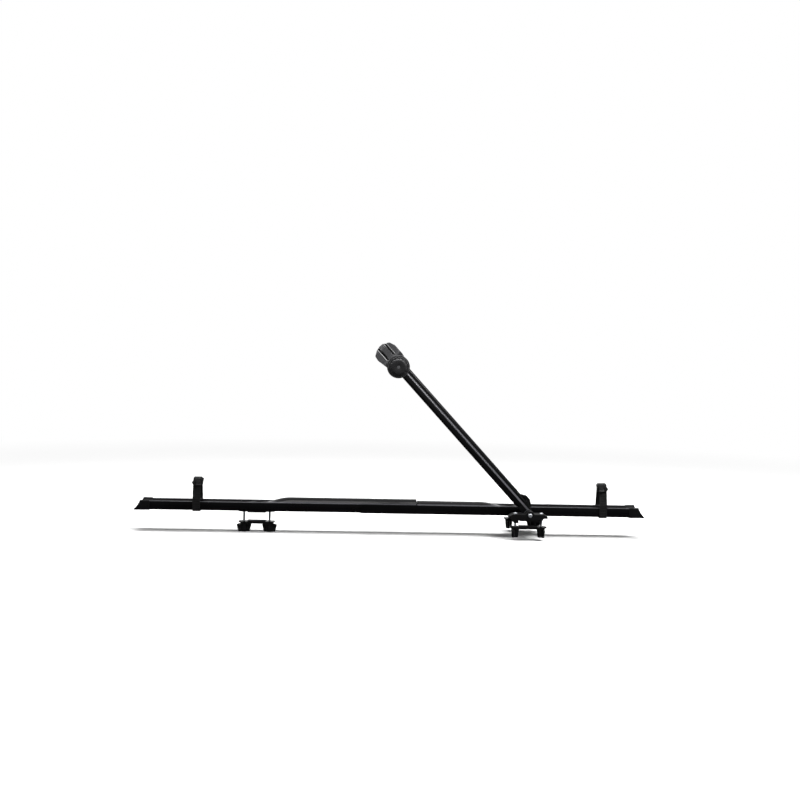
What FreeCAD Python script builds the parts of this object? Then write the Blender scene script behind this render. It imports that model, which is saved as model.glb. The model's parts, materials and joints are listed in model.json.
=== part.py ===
import FreeCAD, Part
import math
import os

# Roof bike carrier: a two-piece wheel rail on two crossbar saddles, with a hinged arm that
# clamps the bicycle's frame tube and two straps that hold its wheels.
# Millimetres. +X runs along the rail to the arm's end, -Y is the arm's side, +Z is up.
# The origin is on top of the front crossbar, under the middle of the rail.

# Crossbars that the clamps are set for
BAR_SPAN = 717.0
FRONT_GRIP = 14.0
REAR_GRIP = 22.0
BAR_CHANNEL = 27.0

# Wheel rail: pressed steel, open troughs at both ends and a closed crown between them
SKIN = 1.2
REAR_HALF = 31.0
SLIP = 0.5
WALL_HEIGHT = 25.0
BEAD = 2.25
CORNER = 4.0
LEDGE_DROP = 6.0
LEDGE_WIDTH = 4.0
TROUGH_FLOOR = 8.0
REAR_DOME = 11.0
FRONT_DOME = 7.0
REAR_TIP = -1041.0
FRONT_TIP = 317.0
REAR_NOSE = (-751.0, -626.0)
FRONT_NOSE = (-123.0, 5.0)
NOSE_STEPS = 8
SOCKET_END = -441.0
SOCKET_MOUTH = -290.0
TUBE_END_GAP = 2.0
RAIL_BOLTS = (-408.0, -304.5)
RAIL_BOLT_LENGTH = 14.0
NUT_ACROSS = 10.0
NUT_HEIGHT = 5.0

# End caps
CAP_WALL = 1.5
CAP_SLEEVE = 42.0
CAP_NOSE = 20.0
CAP_HOLLOW = 60.0

# Front saddle: a casting that straddles the crossbar, with a slot for the arm
SEAT_PAD = 2.5
SADDLE_FLOOR = 2.5
SADDLE_HALF = 46.0
SKIRT_DEPTH = 5.0
SKIRT_FOOT = 39.0
SILL_TOP = 2.0
SILL_BACK = 12.0
CRADLE_CLEAR = 0.2
CRADLE_WALL = 6.0
CRADLE_RISE = 10.0
ARM_GAP = 2.5
BLOCK_DEPTH = 36.0
BLOCK_RISE = 13.0
BLOCK_ENDS = (-52.5, 49.5)
BLOCK_CHAMFER = 10.5
BLOCK_SLOPE = 6.0
BLOCK_WAIST = 10.5
TAB_LOW = 7.4
TAB_START = 36.0
SADDLE_ROUND = 2.0
CRADLE_INSET = 2.0
CRADLE_SLOPE = 6.0
PAD_HALF = 24.0
PAD_INSET = 2.0
SCREW_X = 33.0
SCREW_SINK = 5.0
SCREW_HEAD = 4.5
SCREW_HEAD_R = 5.0
KEY_ACROSS = 5.0
KEY_DEPTH = 3.0

# Clamp bolts, plates and wing knobs under each crossbar
BOLT_R = 3.0
BOLT_CLEAR = 0.2
BOLT_HEAD_R = 5.5
BOLT_HEAD = 3.5
BOLT_X = 34.0
BOLT_BELOW = 23.0
PLATE = 3.0
PLATE_PAD = 1.5
PLATE_HALF = 48.0
PLATE_WIDTH = 30.0
PLATE_FLANGE = 3.0
PLATE_CORNER = 5.0
FLANGE_INSET = 8.0
PAD_MARGIN = 1.0
KNOB_GAP = 0.3
KNOB_COLLAR = 7.0
KNOB_COLLAR_R = 10.5
WING_SPAN = 20.0
WING_THICK = 7.0
WING_HEIGHT = 18.0
WING_TAPER = 4.0
WING_RISE = 3.0
WING_OVERLAP = 2.0
INSERT_R = 6.0
INSERT_HEIGHT = 8.0
THREAD_CLEAR = 0.05
NEAR_KNOB_TURNS = (62.0, -70.0)
FAR_KNOB_TURNS = (80.0, -25.0)
REAR_KNOB_TURNS = (20.0, -12.0)

# Rear saddle
REAR_SADDLE_HALF = 48.0
REAR_SADDLE_WIDTH = 28.0

# Arm and its pivot
PIVOT_X = 3.0
PIVOT_RISE = 10.0
ARM_ANGLE = 47.4
ARM_FACE = 30.0
ARM_DEPTH = 18.0
ARM_WALL = 2.0
ARM_CORNER = 8.0
ARM_LIFT = 4.0
ARM_START = 30.0
EYE_R = 12.0
GUSSET_END = 52.0
GUSSET_HEIGHT = 9.0
GUSSET_THICK = 10.0
GUSSET_LAP = 2.0
GUSSET_FOOT = 4.0
GUSSET_HEEL = 12.0
GUSSET_TOP = (-5.0, 9.0)
GUSSET_TAIL = 3.0
GUSSET_ROUND = 3.0
PLUG_LENGTH = 40.0
PLUG_CLEAR = 0.1
FOOT_PIN_R = 2.5
PIVOT_R = 4.0
PIVOT_HEAD_R = 5.8
PIVOT_HEAD = 4.0
PIVOT_NUT = 4.0
PIVOT_NUT_ACROSS = 13.0
PIVOT_BOSS_R = 11.0
BUSH_WALL = 2.0
RUN_CLEAR = 0.05
WASHER_GAP = 0.1

# Frame clamp at the arm's top
TUBE_R = 23.5
LINER = 2.5
JAW_WALL = 5.0
SPINE_WALL = 7.0
CLAMP_REACH = 518.0
TUBE_SET = 44.0
HUB_R = 30.0
HUB_WALL = 5.0
ARM_PAST_CLAMP = 23.0
WEB_INSET = 8.0
WEB_LAP = 3.0
HEEL_RISE = 17.0
HEEL_SET = 6.5
HUB_SKIN = 2.0
NEAR_TIP_ANGLE = 12.0
NEAR_SHOULDER_ANGLE = 75.0
NEAR_HEEL_ANGLE = 143.0
FAR_HEEL_ANGLE = 200.0
FAR_SHOULDER_ANGLE = 300.0
FAR_TIP_ANGLE = 348.0
LINER_INSET = 1.0
LINER_MARGIN_ANGLE = 8.0
NEAR_FINGERS = ((-31.0, -12.0), (-5.0, 10.5), (17.0, 31.0))
JAW_LEFT = ((-8.0, 20.0), (15.0, 23.0), (46.0, 30.0), (60.0, 28.0), (68.5, 15.0), (72.0, 5.0))
JAW_RIGHT = ((-8.0, 20.0), (9.0, 29.0), (26.0, 32.0), (48.0, 31.0), (63.0, 25.0), (71.5, 10.0))
JAW_ROUND = (2.0, 6.0, 8.0, 6.0, 6.0, 4.0)
FINGER_CLEAR = 0.4
FAR_BASE = (9.0, 25.0)
FAR_BASE_HALF = 16.0
FAR_TIP_RISE = 70.0
FAR_TIP_ROUND = 9.0
PIN_R = 3.0
PIN_SET_BACK = 17.0
PIN_CLEAR = 0.2
PIN_END = 60.0
CLAMP_BOLT_R = 5.0
CLAMP_BOLT_END = 58.0
CLAMP_NUT = 8.0
CLAMP_NUT_ACROSS = 17.0
CLAMP_KNOB_R = 27.0
CLAMP_KNOB_HEIGHT = 26.0
KNOB_FACE_R = 18.0
KNOB_BEVEL = 5.0
KNOB_STEP = 8.0
KNOB_FLUTES = 12
FLUTE_R = 5.0
FLUTE_DEPTH = 1.6
FLUTE_STOP = 5.0
LOCK_R = 4.0
LOCK_LENGTH = 7.0
LOCK_SUNK = 0.8
KEY_SLOT = 1.4
KEY_SLOT_DEPTH = 2.0

# Wheel straps and their buckles
REAR_STRAP_X = -875.0
FRONT_STRAP_X = 205.0
STRAP_WIDTH = 20.0
STRAP_THICK = 2.5
STRAP_CLEAR = 0.4
STRAP_TOP = 92.0
STRAP_TOP_HALF = 17.0
STRAP_LEAN_START = 6.0
STRAP_SIDE_BEND = 25.0
STRAP_TOP_BEND = 13.0
BUCKLE_HEIGHT = 82.0
BUCKLE_SHIFT = 5.5
BUCKLE_HALF = 10.5
BUCKLE_LENGTH = 20.0
BUCKLE_POINT = 13.0
POINT_DROP = 3.5
POINT_TOP_SET = 7.5
POINT_FOOT_SET = 4.0
BUCKLE_INNER_TOP = 19.0
BUCKLE_INNER_FOOT = 16.0
BUCKLE_ROUND = 1.5
BUCKLE_BASE = 3.0
BUCKLE_CHEEK = 3.0
CHEEK_RISE = 6.0
CHEEK_ROUND = 2.0
LEVER_PIN_SET = 4.0
LEVER_PIN_R = 1.5
LEVER_THICK = 3.0
LEVER_CLEAR = 0.3
LEVER_TAB = 2.0
TAB_FLARE = 3.0
TAB_ROUND = 0.8

# How far a cutting shape runs past the face it opens
PAST = 1.0

# Heights and places that follow from the sizes above
RAIL_SEAT = SEAT_PAD + SADDLE_FLOOR
LIP = RAIL_SEAT + WALL_HEIGHT
FRONT_HALF = REAR_HALF + SLIP + SKIN
REAR_SEAT = RAIL_SEAT + SKIN
FRONT_BAR = 0.0
REAR_BAR = -BAR_SPAN
CRADLE_IN = FRONT_HALF + CRADLE_CLEAR
CRADLE_OUT = CRADLE_IN + CRADLE_WALL
ARM_FAR = -(CRADLE_OUT + ARM_GAP)
ARM_NEAR = ARM_FAR - ARM_DEPTH
ARM_MID = (ARM_FAR + ARM_NEAR) / 2
ARM_LOW = ARM_LIFT - ARM_FACE / 2
ARM_HIGH = ARM_LIFT + ARM_FACE / 2
BLOCK_IN = -ARM_NEAR + ARM_GAP
BLOCK_OUT = BLOCK_IN + BLOCK_DEPTH
BOLT_Y = BLOCK_IN + BLOCK_DEPTH / 2
BLOCK_TOP = RAIL_SEAT + BLOCK_RISE
PIVOT_Z = RAIL_SEAT + PIVOT_RISE
TUBE_REACH = CLAMP_REACH + TUBE_SET
FAR_TIP_REACH = CLAMP_REACH + FAR_TIP_RISE
ARM_END = CLAMP_REACH + ARM_PAST_CLAMP
HUB_NEAR = ARM_NEAR - HUB_WALL
HUB_FAR = ARM_FAR + HUB_WALL
JAW_IN = TUBE_R + LINER
JAW_OUT = JAW_IN + JAW_WALL
SPINE_OUT = JAW_IN + SPINE_WALL
CLAMP_KNOB_BACK = HUB_NEAR - KNOB_GAP
CLAMP_KNOB_FACE = CLAMP_KNOB_BACK - CLAMP_KNOB_HEIGHT


def vec(x, y, z):
    return FreeCAD.Vector(x, y, z)


def block(x, y, z):
    """A box between two values on each axis."""
    return Part.makeBox(x[1] - x[0], y[1] - y[0], z[1] - z[0], vec(x[0], y[0], z[0]))


def bar(radius, start, end):
    """A round bar from one point to another."""
    axis = end - start
    return Part.makeCylinder(radius, axis.Length, start, axis)


def fuse(*shapes):
    return shapes[0].fuse(list(shapes[1:])).removeSplitter()


def cut(shape, *tools):
    return shape.cut(list(tools))


def line(start, end):
    return Part.LineSegment(start, end).toShape()


def arc(start, middle, end):
    return Part.Arc(start, middle, end).toShape()


def rounded_wire(points, radii, place):
    """A closed wire through flat points with rounded corners, set in space by place(a, b)."""
    flat = [vec(a, b, 0) for a, b in points]
    corners = []
    for i, corner in enumerate(flat):
        radius = radii[i] if isinstance(radii, (list, tuple)) else radii
        back = (flat[i - 1] - corner).normalize()
        ahead = (flat[(i + 1) % len(flat)] - corner).normalize()
        if radius == 0:
            corners.append((corner, None, corner))
            continue
        half_turn = back.getAngle(ahead) / 2
        middle_way = (back + ahead).normalize()
        setback = radius / math.tan(half_turn)
        nearest = corner + middle_way * (radius / math.sin(half_turn) - radius)
        corners.append((corner + back * setback, nearest, corner + ahead * setback))
    edges = []
    for i, (start, middle, end) in enumerate(corners):
        if middle is not None:
            edges.append(arc(*[place(p.x, p.y) for p in (start, middle, end)]))
        after = corners[(i + 1) % len(corners)][0]
        if (after - end).Length > 0.001:
            edges.append(line(place(end.x, end.y), place(after.x, after.y)))
    return Part.Wire(edges)


def prism_xz(points, radii, y):
    wire = rounded_wire(points, radii, lambda a, b: vec(a, y[0], b))
    return Part.Face(wire).extrude(vec(0, y[1] - y[0], 0))


def prism_yz(points, radii, x):
    wire = rounded_wire(points, radii, lambda a, b: vec(x[0], a, b))
    return Part.Face(wire).extrude(vec(x[1] - x[0], 0, 0))


def prism_xy(points, radii, z):
    wire = rounded_wire(points, radii, lambda a, b: vec(a, b, z[0]))
    return Part.Face(wire).extrude(vec(0, 0, z[1] - z[0]))


def hexagon(across, centre, axis, length):
    """A hexagonal nut's solid without its hole."""
    corner = across / math.sqrt(3)
    points = []
    for i in range(7):
        angle = math.radians(60 * i)
        points.append(vec(corner * math.cos(angle), corner * math.sin(angle), 0))
    solid = Part.Face(Part.makePolygon(points)).extrude(vec(0, 0, length))
    solid.Placement = FreeCAD.Placement(centre, FreeCAD.Rotation(vec(0, 0, 1), axis))
    return solid


def dome_head(radius, height, centre, axis):
    """A bolt's domed head that stands on centre and rises along axis."""
    ball_r = (radius ** 2 + height ** 2) / (2 * height)
    direction = vec(*axis).normalize()
    ball = Part.makeSphere(ball_r, centre + direction * (height - ball_r))
    return ball.common(Part.makeCylinder(radius, height, centre, direction))


# Wheel rail

def rail_outline(x, half, bottom, crown):
    """The rail's outer section at one place along it, with a beaded lip on each wall."""
    slant = 1 - math.sqrt(0.5)
    inner = half - 2 * BEAD
    shoulder = LIP - BEAD
    right = [
        (half - CORNER, bottom),
        (half - CORNER * slant, bottom + CORNER * slant),
        (half, bottom + CORNER),
        (half, shoulder),
        (half - BEAD * slant, LIP - BEAD * slant),
        (half - BEAD, LIP),
        (inner + BEAD * slant, LIP - BEAD * slant),
        (inner, shoulder),
    ]
    r = [vec(x, a, b) for a, b in right]
    m = [vec(x, -a, b) for a, b in right]
    return Part.Wire([
        line(m[0], r[0]),
        arc(r[0], r[1], r[2]),
        line(r[2], r[3]),
        arc(r[3], r[4], r[5]),
        arc(r[5], r[6], r[7]),
        arc(r[7], vec(x, 0, crown), m[7]),
        arc(m[7], m[6], m[5]),
        arc(m[5], m[4], m[3]),
        line(m[3], m[2]),
        arc(m[2], m[1], m[0]),
    ])


def rail_hollow(x, half, bottom, crown):
    """The hollow inside the rail's skin at one place along it."""
    wall = half - SKIN
    floor = bottom + SKIN
    ledge = LIP - LEDGE_DROP
    inner = wall - LEDGE_WIDTH
    return Part.Wire([
        line(vec(x, -wall, floor), vec(x, wall, floor)),
        line(vec(x, wall, floor), vec(x, wall, ledge)),
        line(vec(x, wall, ledge), vec(x, inner, ledge)),
        arc(vec(x, inner, ledge), vec(x, 0, crown - SKIN), vec(x, -inner, ledge)),
        line(vec(x, -inner, ledge), vec(x, -wall, ledge)),
        line(vec(x, -wall, ledge), vec(x, -wall, floor)),
    ])


def rail_stations(trough_end, trough_nose, dome_nose, dome_end, trough, dome):
    """Places along a rail half with the height of its middle, from the trough to the crown."""
    stations = [(trough_end, trough)]
    for i in range(NOSE_STEPS + 1):
        share = i / NOSE_STEPS
        rise = (1 - math.cos(math.pi * share)) / 2
        x = trough_nose + (dome_nose - trough_nose) * share
        stations.append((x, trough + (dome - trough) * rise))
    stations.append((dome_end, dome))
    return stations


def rail_shell(stations, half, bottom):
    outside = Part.makeLoft([rail_outline(x, half, bottom, h) for x, h in stations], True, True)
    inside = Part.makeLoft([rail_hollow(x, half, bottom, h) for x, h in stations], True, True)
    return cut(outside, inside)


def rear_rail():
    stations = rail_stations(
        REAR_TIP + CAP_NOSE,
        REAR_NOSE[0],
        REAR_NOSE[1],
        SOCKET_MOUTH - TUBE_END_GAP,
        REAR_SEAT + TROUGH_FLOOR,
        LIP + REAR_DOME,
    )
    shell = rail_shell(stations, REAR_HALF, REAR_SEAT)
    holes = [floor_hole(x, REAR_SEAT, 0) for x in RAIL_BOLTS]
    holes += [floor_hole(REAR_BAR + side * BOLT_X, REAR_SEAT, 0) for side in (-1, 1)]
    return cut(shell, *holes)


def front_rail():
    stations = rail_stations(
        FRONT_TIP - CAP_NOSE,
        FRONT_NOSE[1],
        FRONT_NOSE[0],
        SOCKET_MOUTH,
        RAIL_SEAT + TROUGH_FLOOR,
        LIP + FRONT_DOME,
    )
    shell = rail_shell(stations, FRONT_HALF, RAIL_SEAT)
    wall = FRONT_HALF - SKIN
    outside = prism_yz(
        [(-FRONT_HALF, RAIL_SEAT), (FRONT_HALF, RAIL_SEAT), (FRONT_HALF, LIP), (-FRONT_HALF, LIP)],
        [CORNER, CORNER, 0, 0],
        (SOCKET_END, SOCKET_MOUTH),
    )
    inside = block((SOCKET_END, SOCKET_MOUTH), (-wall, wall), (RAIL_SEAT + SKIN, LIP))
    socket = cut(outside, inside)
    holes = [floor_hole(x, RAIL_SEAT, 0) for x in RAIL_BOLTS]
    holes += [floor_hole(side * SCREW_X, RAIL_SEAT, 0) for side in (-1, 1)]
    return cut(shell.fuse(socket), *holes)


def floor_hole(x, bottom, y):
    """A bolt's clearance hole through one floor skin."""
    return bar(BOLT_R + BOLT_CLEAR, vec(x, y, bottom - PAST), vec(x, y, bottom + SKIN + PAST))


def rail_bolts():
    bolts = []
    for x in RAIL_BOLTS:
        shank = bar(BOLT_R, vec(x, 0, RAIL_SEAT), vec(x, 0, RAIL_SEAT + RAIL_BOLT_LENGTH))
        head = dome_head(BOLT_HEAD_R, BOLT_HEAD, vec(x, 0, RAIL_SEAT), (0, 0, -1))
        bolts.append(fuse(shank, head))
    return Part.makeCompound(bolts)


def nut(across, centre, axis, length, bore):
    body = hexagon(across, centre, vec(*axis), length)
    far = centre + vec(*axis) * (length + PAST)
    return cut(body, bar(bore, centre - vec(*axis), far))


def rail_nuts():
    floor = REAR_SEAT + SKIN
    return Part.makeCompound([
        nut(NUT_ACROSS, vec(x, 0, floor), (0, 0, 1), NUT_HEIGHT, BOLT_R) for x in RAIL_BOLTS
    ])


def end_cap(tip, inward, half, bottom):
    """A moulded cap over one end of the rail, with a sloping hollow nose."""
    start = tip + inward * CAP_SLEEVE
    metal_end = tip + inward * CAP_NOSE
    trough = bottom + TROUGH_FLOOR
    reach = vec(tip - start, 0, 0)
    cover = Part.Face(cap_outline(start, half, bottom, trough)).extrude(reach)
    over = vec(metal_end - start, 0, 0)
    rail = Part.Face(rail_outline(start, half, bottom, trough)).extrude(over)
    lip_x = tip + inward * (CAP_NOSE - 2 * CAP_WALL)
    chord = math.hypot(lip_x - tip, LIP - bottom)
    middle = vec((lip_x + tip) / 2, 0, (LIP + bottom) / 2)
    outward = vec(-inward * (LIP - bottom), 0, abs(lip_x - tip)).normalize()
    offset = math.sqrt(CAP_HOLLOW ** 2 - (chord / 2) ** 2)
    centre = middle + outward * offset
    width = half + 4 * CAP_WALL
    hollow = bar(CAP_HOLLOW, centre - vec(0, width, 0), centre + vec(0, width, 0))
    return cut(cover, rail, hollow)


def cap_outline(x, half, bottom, crown):
    """The rail's outline, one cap wall larger."""
    return rail_outline(x, half, bottom, crown).makeOffset2D(CAP_WALL)


# Front saddle and its fixings

def skirt_edge(height):
    """How far out the saddle's slanted skirt reaches at a height."""
    share = (height + SKIRT_DEPTH) / (RAIL_SEAT + SKIRT_DEPTH)
    return SKIRT_FOOT + (SADDLE_HALF - SKIRT_FOOT) * share


def saddle_channel():
    """The crossbar's space under the saddle, as an outline of one end."""
    return [
        (-SKIRT_FOOT, -SKIRT_DEPTH),
        (-BAR_CHANNEL, -SKIRT_DEPTH),
        (-BAR_CHANNEL, SEAT_PAD),
        (BAR_CHANNEL, SEAT_PAD),
        (BAR_CHANNEL, -SKIRT_DEPTH),
        (SKIRT_FOOT, -SKIRT_DEPTH),
    ]


def block_outline():
    """A saddle block's side view: a slanted skirt at one end and a raised tab at the other."""
    side_top = BLOCK_TOP - BLOCK_SLOPE
    left, right = BLOCK_ENDS
    points = [
        *saddle_channel()[:4],
        (TAB_START, TAB_LOW),
        (right, TAB_LOW),
        (right, side_top),
        (right - BLOCK_CHAMFER, BLOCK_TOP),
        (left + BLOCK_CHAMFER, BLOCK_TOP),
        (left, side_top),
        (left, BLOCK_WAIST),
    ]
    radii = [SADDLE_ROUND, 0, 0, 0, SADDLE_ROUND, SADDLE_ROUND / 2, SADDLE_ROUND]
    radii += [SADDLE_ROUND, SADDLE_ROUND, SADDLE_ROUND / 4, SADDLE_ROUND / 4]
    return points, radii


def front_saddle():
    ends, end_radii = block_outline()
    near_block = prism_xz(ends, end_radii, (-BLOCK_OUT, -BLOCK_IN))
    far_block = prism_xz(ends, end_radii, (BLOCK_IN, BLOCK_OUT))
    floor = [*saddle_channel(), (SADDLE_HALF, RAIL_SEAT), (-SADDLE_HALF, RAIL_SEAT)]
    cradle = prism_xz(floor, 0, (-CRADLE_OUT, BLOCK_IN))
    sill_edge = skirt_edge(SILL_TOP)
    left_sill = [
        (-SKIRT_FOOT, -SKIRT_DEPTH),
        (-BAR_CHANNEL, -SKIRT_DEPTH),
        (-BAR_CHANNEL, SILL_TOP),
        (-sill_edge, SILL_TOP),
    ]
    right_sill = [
        (BAR_CHANNEL, -SKIRT_DEPTH),
        (SKIRT_FOOT, -SKIRT_DEPTH),
        (sill_edge, SILL_TOP),
        (sill_edge, SILL_BACK),
        (BAR_CHANNEL, SILL_BACK),
    ]
    slot = (-BLOCK_IN, -CRADLE_OUT)
    pieces = [near_block, far_block, prism_xz(left_sill, 0, slot), prism_xz(right_sill, 0, slot)]
    for side in (-1, 1):
        low_y, high_y = sorted((side * CRADLE_IN, side * CRADLE_OUT))
        wall_top = RAIL_SEAT + CRADLE_RISE
        wall_foot = SADDLE_HALF - CRADLE_INSET
        wall_head = wall_foot - CRADLE_SLOPE
        wall = [
            (-wall_foot, RAIL_SEAT),
            (wall_foot, RAIL_SEAT),
            (wall_head, wall_top),
            (-wall_head, wall_top),
        ]
        pieces.append(prism_xz(wall, [0, 0, SADDLE_ROUND, SADDLE_ROUND], (low_y, high_y)))
    for y in ((-BLOCK_OUT, -BLOCK_IN), (-CRADLE_OUT, -CRADLE_IN)):
        boss = bar(PIVOT_BOSS_R, vec(PIVOT_X, y[0], PIVOT_Z), vec(PIVOT_X, y[1], PIVOT_Z))
        pieces.append(boss)
    body = fuse(cradle, *pieces)
    holes = [pivot_hole()]
    nut_seat = vec(PIVOT_X, pivot_nut_y(), PIVOT_Z)
    holes.append(hexagon(PIVOT_NUT_ACROSS, nut_seat, vec(0, 1, 0), PIVOT_NUT + PAST))
    for x, y in front_bolt_places():
        holes.append(bar(BOLT_R + BOLT_CLEAR, vec(x, y, -SKIRT_DEPTH), vec(x, y, BLOCK_TOP)))
    for side in (-1, 1):
        x = side * SCREW_X
        holes.append(bar(BOLT_R + BOLT_CLEAR, vec(x, 0, -SKIRT_DEPTH), vec(x, 0, RAIL_SEAT)))
        sink_top = vec(x, 0, -SKIRT_DEPTH + SCREW_SINK)
        holes.append(bar(SCREW_HEAD_R + BOLT_CLEAR, vec(x, 0, -SKIRT_DEPTH), sink_top))
    return cut(body, *holes)


def front_bolt_places():
    return [(x, y) for y in (-BOLT_Y, BOLT_Y) for x in (-BOLT_X, BOLT_X)]


def pivot_hole():
    return bar(PIVOT_R, vec(PIVOT_X, -BLOCK_OUT, PIVOT_Z), vec(PIVOT_X, -CRADLE_IN, PIVOT_Z))


def pivot_nut_y():
    return -CRADLE_IN - PIVOT_NUT


def seat_pads():
    """Rubber pads between the front saddle and its crossbar."""
    pads = []
    for y in ((-BLOCK_OUT, -BLOCK_IN), (-CRADLE_OUT, CRADLE_OUT), (BLOCK_IN, BLOCK_OUT)):
        pads.append(block((-PAD_HALF, PAD_HALF), (y[0] + PAD_INSET, y[1] - PAD_INSET), (0, SEAT_PAD)))
    return Part.makeCompound(pads)


def saddle_screws():
    screws = []
    for side in (-1, 1):
        x = side * SCREW_X
        sink_top = -SKIRT_DEPTH + SCREW_SINK
        head_low = sink_top - SCREW_HEAD
        head = bar(SCREW_HEAD_R, vec(x, 0, head_low), vec(x, 0, sink_top))
        top = RAIL_SEAT + SKIN + NUT_HEIGHT
        shank = bar(BOLT_R, vec(x, 0, sink_top), vec(x, 0, top))
        key = hexagon(KEY_ACROSS, vec(x, 0, head_low - PAST), vec(0, 0, 1), KEY_DEPTH + PAST)
        screws.append(cut(fuse(head, shank), key))
    return Part.makeCompound(screws)


def saddle_nuts():
    floor = RAIL_SEAT + SKIN
    return Part.makeCompound([
        nut(NUT_ACROSS, vec(side * SCREW_X, 0, floor), (0, 0, 1), NUT_HEIGHT, BOLT_R)
        for side in (-1, 1)
    ])


def clamp_bolt_set(places, seat, grip):
    """Bolts that hang from a seat down past the crossbar to their wing knobs."""
    bolts = []
    for x, y in places:
        shank = bar(BOLT_R, vec(x, y, -grip - BOLT_BELOW), vec(x, y, seat))
        head = dome_head(BOLT_HEAD_R, BOLT_HEAD, vec(x, y, seat), (0, 0, 1))
        bolts.append(fuse(head, shank))
    return Part.makeCompound(bolts)


def flat_plate(x, y, half_length, half_width, z):
    """A flat plate with rounded corners round a middle."""
    outline = [
        (x - half_length, y - half_width),
        (x + half_length, y - half_width),
        (x + half_length, y + half_width),
        (x - half_length, y + half_width),
    ]
    return prism_xy(outline, PLATE_CORNER, z)


def plate_top(grip):
    return -grip - PLATE_PAD


def clamp_plate(x, y, grip):
    """A channel-shaped plate under the crossbar with two bolt holes."""
    half = PLATE_WIDTH / 2
    top = plate_top(grip)
    low = top - PLATE
    plate = flat_plate(x, y, PLATE_HALF, half, (low, top))
    run = PLATE_HALF - FLANGE_INSET
    flanges = []
    for side in (-1, 1):
        inner, outer = sorted((y + side * (half - PLATE), y + side * half))
        flanges.append(block((x - run, x + run), (inner, outer), (low - PLATE_FLANGE, low)))
    holes = []
    for side in (-1, 1):
        hole_x = x + side * BOLT_X
        under = vec(hole_x, y, low - PAST)
        holes.append(bar(BOLT_R + BOLT_CLEAR, under, vec(hole_x, y, top + PAST)))
    return cut(fuse(plate, *flanges), *holes)


def clamp_pad(x, y, grip):
    half = PLATE_WIDTH / 2 - PAD_MARGIN
    return block((x - PAD_HALF, x + PAD_HALF), (y - half, y + half), (plate_top(grip), -grip))


def wing_knob(x, y, grip, turn):
    """A wing knob with a collar, and the threaded insert moulded into it."""
    knob_top = plate_top(grip) - PLATE - KNOB_GAP
    collar_low = knob_top - KNOB_COLLAR
    foot = collar_low - WING_HEIGHT
    collar = bar(KNOB_COLLAR_R, vec(x, y, collar_low), vec(x, y, knob_top))
    core = Part.makeCone(
        KNOB_COLLAR_R - WING_OVERLAP, KNOB_COLLAR_R, WING_HEIGHT, vec(x, y, foot), vec(0, 0, 1)
    )
    shoulder = knob_top - PLATE_FLANGE
    right = [
        (KNOB_COLLAR_R, foot),
        (WING_SPAN - WING_TAPER, foot + WING_RISE),
        (WING_SPAN, collar_low + WING_OVERLAP),
        (KNOB_COLLAR_R, shoulder),
    ]
    left = [(-a, b) for a, b in reversed(right)]
    wing = prism_xz(
        [(x + a, b) for a, b in right + left],
        [WING_OVERLAP, WING_TAPER, WING_RISE, WING_OVERLAP] * 2,
        (y - WING_THICK / 2, y + WING_THICK / 2),
    )
    wing.rotate(vec(x, y, 0), vec(0, 0, 1), turn)
    body = fuse(collar, core, wing)
    insert_low = knob_top - INSERT_HEIGHT
    insert = hexagon(2 * INSERT_R, vec(x, y, insert_low), vec(0, 0, 1), INSERT_HEIGHT)
    through = bar(BOLT_R + 4 * BOLT_CLEAR, vec(x, y, foot - PAST), vec(x, y, insert_low))
    under = vec(x, y, insert_low - PAST)
    thread = bar(BOLT_R + THREAD_CLEAR, under, vec(x, y, knob_top + PAST))
    return cut(body, insert, through), cut(insert, thread)


# Rear saddle

def rear_saddle():
    half = REAR_SADDLE_WIDTH / 2
    plate = flat_plate(REAR_BAR, 0, REAR_SADDLE_HALF, half, (SEAT_PAD, REAR_SEAT))
    holes = []
    for x, y in rear_bolt_places():
        under = vec(x, y, SEAT_PAD - PAST)
        holes.append(bar(BOLT_R + BOLT_CLEAR, under, vec(x, y, REAR_SEAT + PAST)))
    return cut(plate, *holes)


def rear_bolt_places():
    return [(REAR_BAR + side * BOLT_X, 0) for side in (-1, 1)]


def rear_seat_pad():
    half = REAR_SADDLE_WIDTH / 2 - PAD_MARGIN
    return block((REAR_BAR - PAD_HALF, REAR_BAR + PAD_HALF), (-half, half), (0, SEAT_PAD))


# Arm, modelled lying along -X from its pivot and then raised to its angle

def along(reach, y, across):
    """A point on the lying arm: its reach from the pivot, y, and how far it is above the middle."""
    return vec(PIVOT_X - reach, y, PIVOT_Z + across)


def raised(shape):
    shape.rotate(vec(PIVOT_X, 0, PIVOT_Z), vec(0, 1, 0), ARM_ANGLE)
    return shape


def arm_prism(points, radii, y):
    """A plate with its outline in reach and across, between two values of y."""
    return prism_xz([(PIVOT_X - u, PIVOT_Z + v) for u, v in points], radii, y)


def clamp_prism(edges_at, across):
    """A solid with its outline in reach and y, between two values across the arm."""
    wire = Part.Wire(edges_at(across[0]))
    return Part.Face(wire).extrude(vec(0, 0, across[1] - across[0]))


def arm_section(inset, reach):
    """The arm tube's rounded section, made smaller by inset, between two reaches."""
    low = PIVOT_Z + ARM_LOW + inset
    high = PIVOT_Z + ARM_HIGH - inset
    deep = ARM_DEPTH / 2 - inset
    points = [
        (ARM_MID - deep, low),
        (ARM_MID + deep, low),
        (ARM_MID + deep, high),
        (ARM_MID - deep, high),
    ]
    return prism_yz(points, ARM_CORNER - inset, (PIVOT_X - reach[1], PIVOT_X - reach[0]))


def cross_bar(radius, reach, y):
    return bar(radius, along(reach, y[0], 0), along(reach, y[1], 0))


def foot_pin():
    return cross_bar(FOOT_PIN_R, ARM_START + PLUG_LENGTH / 2, (ARM_NEAR, ARM_FAR))


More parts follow.
